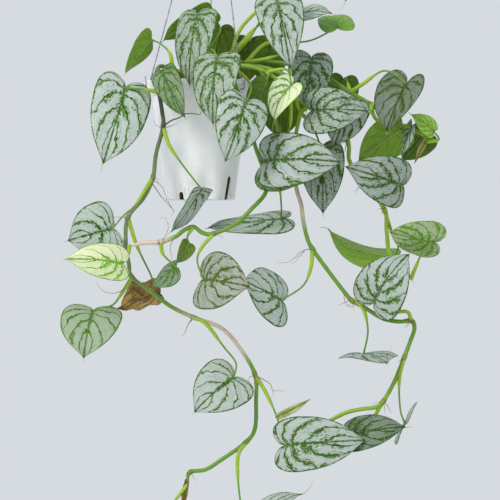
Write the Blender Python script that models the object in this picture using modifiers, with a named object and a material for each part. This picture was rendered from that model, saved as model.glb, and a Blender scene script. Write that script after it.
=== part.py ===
"""A silver-leaved heart-leaf philodendron trailing from a small white hanging pot.

Places are in millimetres from the middle of the pot's rim: x to the right, y to the back, z up.
The finished model is in metres, with its origin inside the crown of the hook that it hangs by.
"""

import math
from typing import NamedTuple

import bmesh
import bpy
from mathutils import Matrix, Vector

MM = 0.001

# Hanger: a steel hook in a small cap, over the plant's weight, a little right of the pot's middle
HOOK_CROWN = Vector((12, 0, 272))
HOOK_ROD = 1.5
HOOK_BEND = 8.0
CAP_RADIUS = 5.5
CAP_TOP = -36
CAP_BOTTOM = -50
SEAT_DEPTH = 7
WIRE_RADIUS = 0.8
WIRE_BEARINGS = {"wire_left": 200, "wire_back": 80, "wire_right": 320}
FIT_GAP = 0.35

# Pot: thin white plastic, with a turned-down rim, and a drainage slit in each flute round its foot
RIM_RADIUS = 56.5
RIM_DROP = 9
WALL_TOP_RADIUS = 50.2
FOOT_RADIUS = 35
POT_HEIGHT = 120
WALL = 1.6
WIRE_HOLE_RING = 52.6
WIRE_HOLE_RADIUS = 1.3
SLITS = 8
SLIT_WIDTH = 3.4
LONG_SLIT_TOP = -96
SHORT_SLIT_TOP = -112
LONG_SLIT_EVERY = 4
FLUTE_TOP = -74
FLUTE_DEPTH = 4
TURNS = 32
WALL_LEVELS = (-FLUTE_TOP, 98)

# Potting mix, a little below the rim and heaped round the stems
SOIL_EDGE = -9
SOIL_HEAP = 12

# Growth
STEM_RADIUS = 2.1
NODE_SWELL = 1.3
STEM_STEP = 22
STALK_RADIUS = 1.0
SHEATH_SWELL = 1.9
STALK_STEP = 28
BLADE_THICKNESS = 0.8
BLADE_CURL = 0.10

# Half a heart-shaped blade, from its heel round the lobe to its tip: (across / breadth, along / length)
HEART = ((0, 0), (.09, -.14), (.31, -.19), (.48, -.01), (.50, .27), (.42, .55), (.21, .82), (0, 1))
# Half a bract, the papery sheath that wrapped a new leaf
LANCE = ((0, 0), (.32, .04), (.45, .14), (.50, .28), (.47, .46), (.35, .66), (.16, .86), (0, 1))
# Where the midrib meets the lines that run out to those points
MIDRIB = (0, .05, .13, .25, .42, .62, .82, 1)
ACROSS = (0.55, 1.0)


class Leaf(NamedTuple):
    node: int  # the point of its stem that its stalk grows from
    stalk: tuple  # points that the stalk passes on its way to the blade
    heel: tuple  # where stalk and blade meet
    tip: tuple
    breadth: float
    face: tuple  # the way that the blade's upper side looks
    arch: float = 0.09  # how far the blade bows up, against its length
    fold: float = 0.16  # how steeply its halves rise from the midrib
    lobe: float = 0.75  # how far its two lobes reach back past the heel, against a full heart
    half: tuple = HEART


def bract(node, heel, tip, breadth, face):
    return Leaf(node, (), heel, tip, breadth, face, arch=0.06, fold=0.5, half=LANCE)


class Stem(NamedTuple):
    name: str
    route: tuple  # from its foot in the soil to its growing end
    nodes: tuple  # the points of the route where the stem swells
    leaves: tuple


LEFT_VINE = Stem(
    "vine_left",
    ((-22, -14, -18), (-26, -20, 6), (-38, -36, 13), (-43, -51, 5), (-40, -57, -14),
     (-37, -57, -33), (-36, -56, -48), (-43, -56, -75), (-46, -56, -98), (-55, -55, -118),
     (-71, -54, -138), (-73, -52, -163), (-70, -50, -184), (-67, -48, -197), (-45, -46, -214),
     (-27, -44, -227), (-6, -42, -237), (22, -42, -248), (41, -42, -269), (55, -42, -294),
     (56, -42, -320), (55, -42, -347), (46, -43, -361), (22, -44, -378), (6, -44, -388),
     (-10, -44, -391), (-12, -44, -403)),
    (4, 6, 8, 10, 13, 16, 19, 22, 25),
    (
        Leaf(4, ((-56, -60, -11),), (-73, -62, -10), (-94, -98, -86), 59, (.39, -.86, .34), .02, .18,
             .68),
        Leaf(6, ((-30, -60, -66), (-18, -63, -84)), (2, -67, -110), (-28, -54, -152), 44,
             (.05, -.05, -1), .02, .3, .3),
        Leaf(8, ((-63, -60, -125), (-75, -62, -136)), (-86, -63, -149), (-129, -80, -161), 62,
             (.26, -.85, .35), .02, .18, .68),
        Leaf(10, ((-62, -50, -166), (-50, -38, -192)), (-42, -35, -211), (-82, -38, -228), 28,
             (-.3, -.9, -.3), -.1, -.5),
        Leaf(13, ((-79, -54, -216), (-87, -58, -225)), (-105, -62, -230), (-113, -90, -276), 60,
             (-.1, -.8, .5)),
        Leaf(16, ((6, -46, -243), (24, -50, -266), (36, -52, -282)), (34, -54, -296), (-5, -68, -330),
             56, (-.1, -.9, .3)),
        Leaf(19, ((66, -46, -312), (76, -49, -334)), (85, -60, -363), (164, -63, -358), 54,
             (0, -1, .15)),
        Leaf(22, ((38, -46, -375), (39, -48, -408)), (45, -52, -446), (102, -60, -411), 50,
             (-.3, -.4, .85)),
        Leaf(26, ((-24, -46, -418),), (-36, -49, -434), (-52, -56, -480), 32, (-.3, -1, .3)),
        bract(19, (75, -49, -336), (110, -42, -318), 8, (0, -1, -.3)),
        bract(26, (-12, -44, -397), (-17, -43, -434), 6, (-.3, -1, 0)),
    ),
)

MIDDLE_VINE = Stem(
    "vine_middle",
    ((10, -22, -18), (12, -33, 8), (20, -50, 14), (32, -64, 0), (44, -62, -30), (56, -54, -70),
     (66, -50, -98), (65, -56, -114), (51, -66, -130), (36, -66, -144), (14, -64, -154),
     (3, -62, -153), (-6, -61, -147), (-16, -60, -151), (-24, -60, -157), (-38, -61, -162),
     (-55, -62, -163), (-69, -63, -166)),
    (6, 10, 15),
    (
        Leaf(6, ((78, -54, -106), (81, -44, -124)), (81, -34, -139), (8, -40, -148), 51,
             (.26, -.38, .89), .01, .07, .83),
        Leaf(10, ((2, -66, -168), (-2, -68, -181)), (4, -76, -199), (50, -102, -206), 59, (0, -1, .2)),
        Leaf(12, ((-12, -56, -157),), (-10, -52, -164), (-23, -46, -183), 17, (.5, .7, .2), .09, .16,
             .5),
        Leaf(15, ((-36, -60, -174),), (-23, -62, -187), (-48, -56, -207), 42, (-.74, -.4, .53), .02,
             .06, .45),
        Leaf(17, ((-70, -74, -175),), (-76, -84, -183), (-130, -99, -179), 37, (0, -1, .3)),
    ),
)

RIGHT_VINE = Stem(
    "vine_right",
    ((24, -12, -18), (32, -16, 8), (50, -26, 14), (64, -42, 2), (78, -52, -50), (92, -52, -92),
     (97, -50, -113), (101, -50, -126), (103, -50, -142), (107, -50, -159), (112, -50, -169),
     (127, -50, -190), (143, -50, -211), (151, -50, -220), (165, -50, -228), (182, -50, -238),
     (198, -51, -241), (210, -52, -240), (213, -52, -248), (209, -52, -260), (203, -52, -276),
     (198, -51, -289), (192, -50, -303), (182, -50, -320), (174, -49, -326), (160, -47, -328),
     (144, -45, -332), (124, -43, -343), (112, -42, -354)),
    (4, 10, 13, 17, 20, 23),
    (
        Leaf(10, ((110, -52, -189), (102, -50, -206)), (81, -46, -220), (43, -77, -200), 62,
             (.86, -.43, .27), .02, .1, 1),
        Leaf(13, ((162, -50, -228), (167, -46, -250)), (163, -42, -273), (184, -94, -281), 56,
             (0, -.2, 1), .04),
        Leaf(17, ((205, -56, -231), (186, -57, -232)), (172, -64, -222), (207, -66, -174), 57,
             (-.37, -.9, .24), .13, .18),
        Leaf(20, ((198, -52, -298), (199, -50, -328)), (204, -46, -343), (211, 4, -338), 46,
             (-.9, -.12, .45), .04),
        Leaf(23, ((168, -44, -344), (156, -42, -356)), (150, -50, -354), (204, -62, -345), 36,
             (.1, -.9, .4)),
    ),
)

OUTER_VINE = Stem(
    "vine_outer",
    ((34, 0, -18), (41, -5, 8), (58, -14, 14), (90, -28, 2), (128, -38, -26), (147, -42, -62),
     (149, -42, -82), (164, -38, -103), (184, -34, -130), (186, -34, -150), (189, -35, -176),
     (198, -36, -190), (210, -38, -199)),
    (3, 5, 7, 8, 12),
    (
        Leaf(7, ((190, -40, -122),), (201, -53, -106), (144, -73, -88), 49, (-.77, -.58, .26), .12,
             .15, .54),
        Leaf(8, ((190, -28, -148), (198, -20, -164)), (196, -18, -176), (128, -22, -149), 50,
             (.2, .44, -.88), .13, .42, .3),
        Leaf(12, ((215, -44, -186), (222, -50, -170)), (231, -52, -162), (188, -57, -152), 45,
             (-.69, -.66, -.3), .03, .06, 1.2),
        Leaf(3, ((86, -32, -4),), (82, -38, -14), (80, -38, -60), 46, (-.1, 1, .1)),
    ),
)

UPPER_VINE = Stem(
    "vine_upper",
    ((30, 14, -18), (38, 14, 10), (62, 8, 20), (100, -8, 14), (130, -24, 0), (150, -32, -13),
     (170, -36, -25), (186, -35, -37), (200, -34, -46), (212, -34, -51), (222, -34, -55),
     (227, -34, -62)),
    (5, 6, 8, 11),
    (
        Leaf(5, ((162, -38, -5), (184, -46, 8)), (205, -54, -5), (185, -62, -53), 56,
             (-.36, -.56, .74), .04, .42, 1.14),
        Leaf(5, ((146, -14, 2),), (144, -6, 0), (138, 4, -48), 32, (.1, 1, .2)),
        Leaf(8, ((208, -26, -46),), (200, -20, -50), (158, -24, -83), 42, (-.2, 1, .2)),
        Leaf(10, ((230, -24, -50),), (226, -14, -54), (203, -2, -80), 32, (.1, 1, .1)),
        Leaf(6, ((175, -44, -40), (187, -48, -44)), (210, -52, -48), (201, -38, -77), 26,
             (-.97, -.15, -.2), .04),
        Leaf(11, ((238, -37, -60),), (232, -38, -51), (210, -46, -35.5), 19, (.1, -1, .3)),
        bract(6, (170, -36, -22), (163, -44, -45), 11, (-.3, -1, .2)),
        bract(11, (227, -34, -58), (214, -30, -84), 6, (-.4, -1, 0)),
    ),
)

LEFT_SHOOT = Stem(
    "shoot_left",
    ((-6, -16, -18), (-3, -28, 6), (-4, -38, 7), (-14, -45, 7), (-27, -52, 9)),
    (1, 2, 4),
    (
        Leaf(4, (), (-37, -67, 7), (-14, -88, -40), 28, (-.24, -.97, .03), .07, .06, .3),
        Leaf(4, ((-29, -54, 24), (-38, -48, 34)), (-48, -44, 39), (-73, -66, 5), 34, (-.74, .49, .46),
             .03, .33, .36),
        Leaf(2, ((-2, -32, 40), (2, -36, 60)), (-2, -42, 66), (-10, -60, -7), 44, (-.45, -.75, .48),
             .06, .07, .3),
        Leaf(1, ((0, -12, 40), (10, -20, 64)), (10, -20, 68), (-37, -10, 40), 38, (.03, .47, .88),
             .03, .15, .54),
        Leaf(1, ((8, -8, 30), (20, 16, 50)), (20, 20, 54), (8, 34, 8), 32, (.2, 1, .1)),
    ),
)

FRONT_SHOOT = Stem(
    "shoot_front",
    ((2, -28, -18), (3, -39, 4), (8, -52, 13), (22, -62, 11)),
    (1, 2, 3),
    (
        Leaf(2, ((12, -62, 28),), (18, -75, 20), (14, -91, -47), 50, (-.17, -.27, .95), .07, .11, .36),
        Leaf(3, ((41, -66, 4), (51, -80, -10)), (46, -102, -26), (26, -120, -84), 50, (.17, -.98, .12),
             .08, .08, .72),
    ),
)

TOP_SHOOT = Stem(
    "shoot_top",
    ((12, 4, -18), (16, 2, 14), (30, -4, 22), (46, -8, 18)),
    (1, 2, 3),
    (
        Leaf(2, ((52, -18, 46), (70, -30, 76)), (77, -38, 79), (90, -80, 8), 47, (-.06, -.89, .45),
             .15, .13, 1),
        Leaf(3, ((64, -18, 21), (86, -26, 25)), (111, -36, 21), (106, -50, -32), 44, (.1, -1, .3)),
        Leaf(3, ((68, -4, 38), (108, 0, 40)), (138, 0, 54), (132, 50, 68), 36, (0, -.4, .9)),
        Leaf(2, ((56, 4, 54), (86, 0, 66)), (100, -6, 67), (132, -12, 67), 36, (0, -.5, .9)),
        Leaf(2, ((46, 8, 60), (108, 18, 108)), (160, 12, 126), (146, -6, 80), 34, (.3, -.8, .5)),
        Leaf(1, ((40, 22, 40),), (50, 30, 42), (48, 42, 0), 34, (0, 1, .3)),
        Leaf(3, ((60, 2, 34),), (72, 8, 38), (64, 10, -8), 36, (.1, 1, .2)),
    ),
)

RIGHT_SHOOT = Stem(
    "shoot_right",
    ((20, -26, -18), (26, -36, 8), (40, -50, 13), (66, -56, 6), (90, -58, -14), (100, -58, -34)),
    (2, 3, 4, 5),
    (
        Leaf(3, ((86, -66, 8),), (91, -80, -8), (74, -71, -42), 42, (-.74, -.63, .26), .13, .35, .9),
        Leaf(4, ((100, -66, -24),), (111, -74, -33), (166, -84, -34), 48, (0, -1, .3)),
        Leaf(4, ((90, -66, -44), (84, -75, -62)), (68, -82, -82), (139, -90, -84), 57, (0, -1, .3)),
        Leaf(5, ((116, -53, -22), (134, -55, -14)), (148, -60, -24), (133, -66, -68), 44,
             (.1, -1, .2)),
        Leaf(5, ((92, -58, -66), (80, -62, -80)), (64, -68, -86), (112, -74, -94), 50, (0, -1, .1)),
        Leaf(5, ((112, -54, -48),), (121, -56, -70), (122, -66, -134), 44, (0, -1, .2)),
        Leaf(3, ((68, -62, 4),), (66, -62, -6), (50, -62, -40), 28, (-.2, 1, .1)),
    ),
)

BACK_SHOOT = Stem(
    "shoot_back",
    ((-10, 18, -18), (-12, 26, 8), (-16, 44, 15), (-20, 63, 4), (-24, 68, -24), (-22, 70, -54)),
    (1, 2, 3, 4, 5),
    (
        Leaf(1, ((-15, 20, 28),), (-9, 26, 42), (-15, 46, 22), 24, (-.3, .7, .6)),
        Leaf(3, ((-24, 72, 14),), (-28, 80, 8), (-30, 92, -46), 44, (-.2, 1, .3)),
        Leaf(4, ((-10, 78, -22),), (2, 82, -26), (12, 92, -82), 46, (.2, 1, .2)),
        Leaf(5, ((-22, 74, -66),), (-18, 78, -74), (-12, 84, -124), 40, (-.2, 1, .2)),
    ),
)

STEMS = (LEFT_VINE, MIDDLE_VINE, RIGHT_VINE, OUTER_VINE, UPPER_VINE,
         LEFT_SHOOT, FRONT_SHOOT, TOP_SHOOT, RIGHT_SHOOT, BACK_SHOOT)


def placed(point):
    """A place given from the rim's middle, as a point of the model in metres from the hook's crown."""
    return (Vector(point) - HOOK_CROWN) * MM


def make_material(name, colour, roughness, metallic=0.0):
    material = bpy.data.materials.new(name)
    material.use_nodes = True
    shader = material.node_tree.nodes["Principled BSDF"]
    shader.inputs["Base Color"].default_value = (*colour, 1)
    shader.inputs["Roughness"].default_value = roughness
    shader.inputs["Metallic"].default_value = metallic
    return material


def add_mesh(name, mesh, collection, material=None):
    obj = bpy.data.objects.new(name, mesh)
    collection.objects.link(obj)
    if material:
        mesh.materials.clear()
        mesh.materials.append(material)
    return obj


def smoothed(points, step):
    """Points about one step apart on the smooth curve through a few given ones, and where those fall."""
    ends = [2 * points[0] - points[1], *points, 2 * points[-1] - points[-2]]
    line, given = [points[0]], [0]
    for a, b, c, d in zip(ends, ends[1:], ends[2:], ends[3:]):
        count = max(1, round((c - b).length / step))
        for k in range(1, count + 1):
            t = k / count
            bend = (2 * a - 5 * b + 4 * c - d) * t**2 + (3 * b - a - 3 * c + d) * t**3
            line.append(0.5 * (2 * b + (c - a) * t + bend))
        given.append(len(line) - 1)
    return line, given


def tube(name, line, radius, swells, collection, sides=6):
    """A round rod along a line of points, as a closed mesh, with the radius times each point's swell."""
    curve = bpy.data.curves.new(name, "CURVE")
    curve.dimensions = "3D"
    curve.bevel_depth = radius * MM
    curve.bevel_resolution = (sides - 4) // 2
    curve.use_fill_caps = True
    spline = curve.splines.new("POLY")
    spline.points.add(len(line) - 1)
    for point, place, swell in zip(spline.points, line, swells):
        point.co = (*placed(place), 1)
        point.radius = swell
    drawn = add_mesh(name + "_curve", curve, collection)
    graph = bpy.context.evaluated_depsgraph_get()
    mesh = bpy.data.meshes.new_from_object(drawn.evaluated_get(graph))
    bpy.data.objects.remove(drawn)
    welded = bmesh.new()
    welded.from_mesh(mesh)
    bmesh.ops.remove_doubles(welded, verts=welded.verts, dist=1e-6)
    bmesh.ops.recalc_face_normals(welded, faces=welded.faces)
    welded.to_mesh(mesh)
    welded.free()
    return add_mesh(name, mesh, collection)


def blade(name, leaf, collection):
    """A leaf's blade: a surface fanned from the midrib to its outline, with Solidify for its thickness."""
    heel, tip = Vector(leaf.heel), Vector(leaf.tip)
    length = (tip - heel).length
    along = (tip - heel) / length
    up = Vector(leaf.face)
    up = (up - up.dot(along) * along).normalized()
    side = along.cross(up)

    def point(x, y):
        bow = 4 * leaf.arch * length * y * (1 - y)
        rise = bow + leaf.breadth * (leaf.fold * abs(x) - BLADE_CURL * (2 * x) ** 2)
        return placed(heel + side * (x * leaf.breadth) + along * (y * length) + up * rise)

    surface = bmesh.new()
    midrib = [surface.verts.new(point(0, y)) for y in MIDRIB]
    for hand in (-1, 1):
        inner = midrib
        for reach in ACROSS:
            outer = [midrib[0]]
            for (x, y), y_rib in list(zip(leaf.half, MIDRIB))[1:-1]:
                y *= leaf.lobe if y < 0 else 1
                outer.append(surface.verts.new(point(hand * reach * x, y_rib + reach * (y - y_rib))))
            outer.append(midrib[-1])
            for a, b, c, d in zip(inner, inner[1:], outer[1:], outer):
                corners = list(dict.fromkeys((a, b, c, d)))
                surface.faces.new(corners if hand > 0 else corners[::-1])
            inner = outer
    bmesh.ops.triangulate(surface, faces=surface.faces)
    mesh = bpy.data.meshes.new(name)
    surface.to_mesh(mesh)
    surface.free()
    obj = add_mesh(name, mesh, collection)
    solidify = obj.modifiers.new("Thickness", "SOLIDIFY")
    solidify.thickness = BLADE_THICKNESS * MM
    solidify.offset = 0
    return obj


def stalk(name, leaf, start, collection):
    """A leaf's stalk, from inside its stem to inside the blade, with a thicker sheath for its first half."""
    heel = Vector(leaf.heel)
    inside_blade = heel + (Vector(leaf.tip) - heel).normalized() * 3
    line, _ = smoothed([Vector(start), *map(Vector, leaf.stalk), heel, inside_blade], STALK_STEP)
    last = len(line) - 1
    swells = [SHEATH_SWELL if k < 0.5 * last else 1 for k in range(last)] + [0.8]
    return tube(name, line, STALK_RADIUS, swells, collection, sides=4)


def keep_largest(mesh):
    """Fill any pocket sealed in where stalks lie against a stem: only the largest closed surface stays."""
    joined = bmesh.new()
    joined.from_mesh(mesh)
    unseen, largest = set(joined.verts), []
    while unseen:
        island = [unseen.pop()]
        for vertex in island:
            near = {edge.other_vert(vertex) for edge in vertex.link_edges} & unseen
            island.extend(near)
            unseen -= near
        largest = max(largest, island, key=len)
    scraps = set(joined.verts) - set(largest)
    bmesh.ops.delete(joined, geom=list(scraps), context="VERTS")
    joined.to_mesh(mesh)
    joined.free()


def grow(stem, material, plant):
    """One stem with its stalks and blades, joined in one solid."""
    parts = bpy.data.collections.new(stem.name + "_parts")
    bpy.context.scene.collection.children.link(parts)
    line, given = smoothed([Vector(p) for p in stem.route], STEM_STEP)
    swollen = {given[k] for k in stem.nodes}
    swells = [NODE_SWELL if k in swollen else 1 for k in range(len(line))]
    swells[-1] = 0.7
    body = tube(stem.name, line, STEM_RADIUS, swells, plant)
    body.data.materials.append(material)
    for number, leaf in enumerate(stem.leaves, 1):
        blade(f"{stem.name}_blade_{number}", leaf, parts)
        if leaf.half is HEART:
            stalk(f"{stem.name}_stalk_{number}", leaf, stem.route[leaf.node], parts)
    join = body.modifiers.new("Join", "BOOLEAN")
    join.operation = "UNION"
    join.operand_type = "COLLECTION"
    join.collection = parts
    join.solver = "MANIFOLD"
    graph = bpy.context.evaluated_depsgraph_get()
    joined = bpy.data.meshes.new_from_object(body.evaluated_get(graph))
    keep_largest(joined)
    body.modifiers.clear()
    body.data = joined
    joined.materials.clear()
    joined.materials.append(material)
    for obj in list(parts.objects):
        bpy.data.objects.remove(obj)
    bpy.data.collections.remove(parts)
    return body


def fluted(x, y, z):
    """A point of the pot's wall, or of the mix in it, drawn inwards where a flute runs down to the foot."""
    depth = min(1, max(0, (FLUTE_TOP - z) / (POT_HEIGHT + FLUTE_TOP)))
    wave = 0.5 + 0.5 * math.cos(SLITS * math.atan2(y, x) - SLITS * slit_bearing(0))
    radius = math.hypot(x, y)
    if radius < 1e-9:
        return Vector((x, y, z))
    pull = FLUTE_DEPTH * depth * wave**2 * min(1, radius / FOOT_RADIUS)
    return Vector((x, y, 0)) * ((radius - pull) / radius) + Vector((0, 0, z))


def slit_bearing(number):
    return math.radians(360 / SLITS * number - 35)


def turned(name, profile, collection, material):
    """A solid of revolution from (radius, height) pairs, then drawn in by the flutes."""
    drawn = bmesh.new()
    corners = [drawn.verts.new(Vector((r, 0, z)) * MM) for r, z in profile]
    for a, b in zip(corners, corners[1:]):
        drawn.edges.new((a, b))
    mesh = bpy.data.meshes.new(name)
    drawn.to_mesh(mesh)
    drawn.free()
    obj = add_mesh(name, mesh, collection)
    screw = obj.modifiers.new("Turn", "SCREW")
    screw.steps = screw.render_steps = TURNS
    screw.use_merge_vertices = True
    screw.merge_threshold = 1e-5
    graph = bpy.context.evaluated_depsgraph_get()
    solid = bpy.data.meshes.new_from_object(obj.evaluated_get(graph))
    for vertex in solid.vertices:
        vertex.co = placed(fluted(*(vertex.co / MM)))
    obj.modifiers.clear()
    obj.data = solid
    solid.materials.append(material)
    return obj


def wall_radius(depth):
    """The pot's outer radius at a depth below its rim."""
    return WALL_TOP_RADIUS + (FOOT_RADIUS - WALL_TOP_RADIUS) * depth / POT_HEIGHT


def cut(obj, cutter):
    modifier = obj.modifiers.new("Cut " + cutter.name, "BOOLEAN")
    modifier.operation = "DIFFERENCE"
    modifier.object = cutter
    modifier.solver = "EXACT"
    cutter.hide_render = True
    cutter.display_type = "WIRE"


def rod_cutter(name, start, end, radius, collection, sides=12):
    """A plain cylinder between two places, to cut a hole with."""
    start, end = Vector(start), Vector(end)
    rod = bmesh.new()
    turn = (end - start).to_track_quat("Z", "Y").to_matrix().to_4x4()
    middle = Matrix.Translation(placed((start + end) / 2))
    bmesh.ops.create_cone(
        rod, cap_ends=True, segments=sides, radius1=radius * MM, radius2=radius * MM,
        depth=(end - start).length * MM, matrix=middle @ turn,
    )
    mesh = bpy.data.meshes.new(name)
    rod.to_mesh(mesh)
    rod.free()
    return add_mesh(name, mesh, collection)


def slit_cutter(number, collection):
    """A box that cuts one drainage slit through the wall and the edge of the base."""
    bearing = slit_bearing(number)
    top = SHORT_SLIT_TOP if number % LONG_SLIT_EVERY else LONG_SLIT_TOP
    inner, outer = FOOT_RADIUS - 11, FOOT_RADIUS + 9
    height = POT_HEIGHT + top + 6
    middle = Vector((math.cos(bearing), math.sin(bearing), 0)) * (inner + outer) / 2
    middle.z = top - height / 2
    place = Matrix.Translation(placed(middle)) @ Matrix.Rotation(bearing, 4, "Z")
    size = Matrix.Diagonal(Vector((outer - inner, SLIT_WIDTH, height)) * MM).to_4x4()
    box = bmesh.new()
    bmesh.ops.create_cube(box, size=1, matrix=place @ size)
    mesh = bpy.data.meshes.new(f"slit_{number}")
    box.to_mesh(mesh)
    box.free()
    return add_mesh(f"slit_{number}", mesh, collection)


def ring_place(bearing, radius, height):
    """A place at a bearing and a distance from the pot's axis."""
    angle = math.radians(bearing)
    return Vector((radius * math.cos(angle), radius * math.sin(angle), height))


def wire_seat(bearing):
    """Where a wire leaves the cap, and its way down from there to its hole in the rim."""
    seat = HOOK_CROWN + ring_place(bearing, 3.1, CAP_BOTTOM)
    return seat, (ring_place(bearing, WIRE_HOLE_RING, 0) - seat).normalized()


def make_pot(collection, cutters, material):
    inner_floor = POT_HEIGHT - 2.4
    inside = [(wall_radius(d) - WALL, -d) for d in (inner_floor, *reversed(WALL_LEVELS), 3)]
    outside = [(wall_radius(d), -d) for d in (2.2, *WALL_LEVELS, POT_HEIGHT - 1.5)]
    profile = [
        (0, -inner_floor), *inside, (WALL_TOP_RADIUS - WALL, 0), (RIM_RADIUS - 1, 0), (RIM_RADIUS, -1),
        (RIM_RADIUS, -RIM_DROP), (RIM_RADIUS - WALL, -RIM_DROP), (RIM_RADIUS - WALL, -2.2), *outside,
        (FOOT_RADIUS - 1.5, -POT_HEIGHT), (FOOT_RADIUS - 12, -POT_HEIGHT), (0, -POT_HEIGHT),
    ]
    pot = turned("pot", profile, collection, material)
    for number in range(SLITS):
        cut(pot, slit_cutter(number, cutters))
    for name, bearing in WIRE_BEARINGS.items():
        above, below = (ring_place(bearing, WIRE_HOLE_RING, z) for z in (3, -6))
        cut(pot, rod_cutter(name + "_hole", above, below, WIRE_HOLE_RADIUS, cutters, 10))
    return pot


def make_soil(collection, cutters, material):
    """The mix inside the pot, with a plain hole for the foot of each stem."""
    gap = WALL + 3 * FIT_GAP
    floor = POT_HEIGHT - 2.4 - FIT_GAP
    side = [(wall_radius(d) - gap, -d) for d in (-SOIL_EDGE, *WALL_LEVELS, floor)]
    heap = [(r, SOIL_EDGE + share * SOIL_HEAP) for r, share in ((0, 1), (16, 0.85), (32, 0.4))]
    profile = [*heap, *side, (FOOT_RADIUS - 12, -floor), (0, -floor)]
    soil = turned("potting_mix", profile, collection, material)
    for stem in STEMS:
        line, given = smoothed([Vector(p) for p in stem.route], STEM_STEP)
        line = line[:given[1] + 2]
        line[0] += (line[0] - line[1]).normalized() * FIT_GAP
        radius = STEM_RADIUS * NODE_SWELL + FIT_GAP
        cut(soil, tube(stem.name + "_hole", line, radius, [1] * len(line), cutters, sides=8))
    return soil


def make_wire(name, bearing, collection, material):
    """A steel wire from its seat in the cap down through the rim, turned up round the rim's lip."""
    lip = RIM_RADIUS + FIT_GAP + WIRE_RADIUS
    under = -RIM_DROP - FIT_GAP - WIRE_RADIUS
    seat, way = wire_seat(bearing)
    line = [
        seat - way * (SEAT_DEPTH - 1), seat, ring_place(bearing, WIRE_HOLE_RING, 1),
        ring_place(bearing, WIRE_HOLE_RING + 0.1, -6), ring_place(bearing, WIRE_HOLE_RING + 0.8, under + 1),
        ring_place(bearing, WIRE_HOLE_RING + 2.4, under), ring_place(bearing, lip - 1, under + 0.1),
        ring_place(bearing, lip, under + 1.4), ring_place(bearing, lip + 0.1, -3),
        ring_place(bearing, lip + 0.6, 4),
    ]
    wire = tube(name, line, WIRE_RADIUS, [1] * len(line), collection)
    wire.data.materials.append(material)
    return wire


def make_hook(collection, material):
    """The hook's rod: a shank up from the cap, and a bend round the point that it hangs from."""
    bend = HOOK_BEND + HOOK_ROD
    turns = [math.radians(degrees) for degrees in range(190, -31, -20)]
    arc = [(math.cos(a) * bend, math.sin(a) * bend - HOOK_BEND) for a in turns]
    shank = [(0, CAP_TOP - SEAT_DEPTH + 0.5), (0, CAP_TOP + 8), (-2.5, CAP_TOP + 14), (-7.5, CAP_TOP + 21)]
    line = [HOOK_CROWN + Vector((x, 0, z)) for x, z in shank + arc]
    hook = tube("hanger_hook", line, HOOK_ROD, [1] * len(line), collection, sides=8)
    hook.data.materials.append(material)
    return hook


def make_cap(collection, cutters, material):
    """The cap that joins hook and wires, with a blind seat for each."""
    top, bottom = (HOOK_CROWN + Vector((0, 0, z)) for z in (CAP_TOP, CAP_BOTTOM))
    cap = rod_cutter("hanger_cap", bottom, top, CAP_RADIUS, collection, sides=24)
    cap.data.materials.append(material)
    shank = rod_cutter(
        "shank_seat", top - Vector((0, 0, SEAT_DEPTH)), top + Vector((0, 0, 5)), HOOK_ROD + FIT_GAP, cutters
    )
    cut(cap, shank)
    for name, bearing in WIRE_BEARINGS.items():
        seat, way = wire_seat(bearing)
        cut(cap, rod_cutter(name + "_seat", seat - way * (SEAT_DEPTH - 0.6), seat + way * 5,
                            WIRE_RADIUS + FIT_GAP, cutters, 8))
    return cap


def main():
    for obj in list(bpy.data.objects):
        bpy.data.objects.remove(obj)
    plant = bpy.data.collections.new("hanging_philodendron")
    cutters = bpy.data.collections.new("cutters")
    for collection in (plant, cutters):
        bpy.context.scene.collection.children.link(collection)
    leaf_green = make_material("leaf_green", (.33, .50, .30), .5)
    white_plastic = make_material("white_plastic", (.84, .85, .86), .45)
    steel = make_material("galvanised_steel", (.55, .56, .60), .4, 1)
    mix = make_material("potting_mix", (.13, .09, .06), .95)
    make_pot(plant, cutters, white_plastic)
    make_soil(plant, cutters, mix)
    make_cap(plant, cutters, white_plastic)
    make_hook(plant, steel)
    for name, bearing in WIRE_BEARINGS.items():
        make_wire(name, bearing, plant, steel)
    for stem in STEMS:
        grow(stem, leaf_green, plant)


main()
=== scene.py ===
# %% [markdown]
# # A silver-leaved philodendron in a hanging pot
#
# This lesson dresses a plain CAD model of a trailing house plant. The solid parts are already in place: a slotted
# plastic pot, its potting mix, three hanger wires, a cap and a hook, and ten leafy stems. Each step below makes one
# kind of piece again with the detail and finish that the real one has, in the same place and at the same size.

# %% Load the solid parts
import math
from typing import NamedTuple

import bmesh
import bpy
import numpy as np
from mathutils import Matrix, Vector, noise


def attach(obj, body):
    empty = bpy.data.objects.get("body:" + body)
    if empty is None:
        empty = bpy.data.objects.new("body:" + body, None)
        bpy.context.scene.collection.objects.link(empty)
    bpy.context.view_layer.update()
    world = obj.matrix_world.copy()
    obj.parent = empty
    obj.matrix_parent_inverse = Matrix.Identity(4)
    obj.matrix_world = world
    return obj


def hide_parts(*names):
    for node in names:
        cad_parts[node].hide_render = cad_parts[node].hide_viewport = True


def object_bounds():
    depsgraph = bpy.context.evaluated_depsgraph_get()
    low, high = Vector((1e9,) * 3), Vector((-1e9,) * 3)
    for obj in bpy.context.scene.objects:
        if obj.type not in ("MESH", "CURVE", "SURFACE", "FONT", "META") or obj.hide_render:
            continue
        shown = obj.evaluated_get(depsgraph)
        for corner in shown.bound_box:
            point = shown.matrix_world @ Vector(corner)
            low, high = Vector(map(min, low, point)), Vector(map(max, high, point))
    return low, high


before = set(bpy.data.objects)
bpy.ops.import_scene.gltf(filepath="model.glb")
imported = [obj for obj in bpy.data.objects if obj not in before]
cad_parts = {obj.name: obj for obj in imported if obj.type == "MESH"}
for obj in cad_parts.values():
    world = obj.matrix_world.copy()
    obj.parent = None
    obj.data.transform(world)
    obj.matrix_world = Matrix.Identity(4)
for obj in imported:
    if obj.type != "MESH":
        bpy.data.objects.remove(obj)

cad_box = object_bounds()
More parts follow.
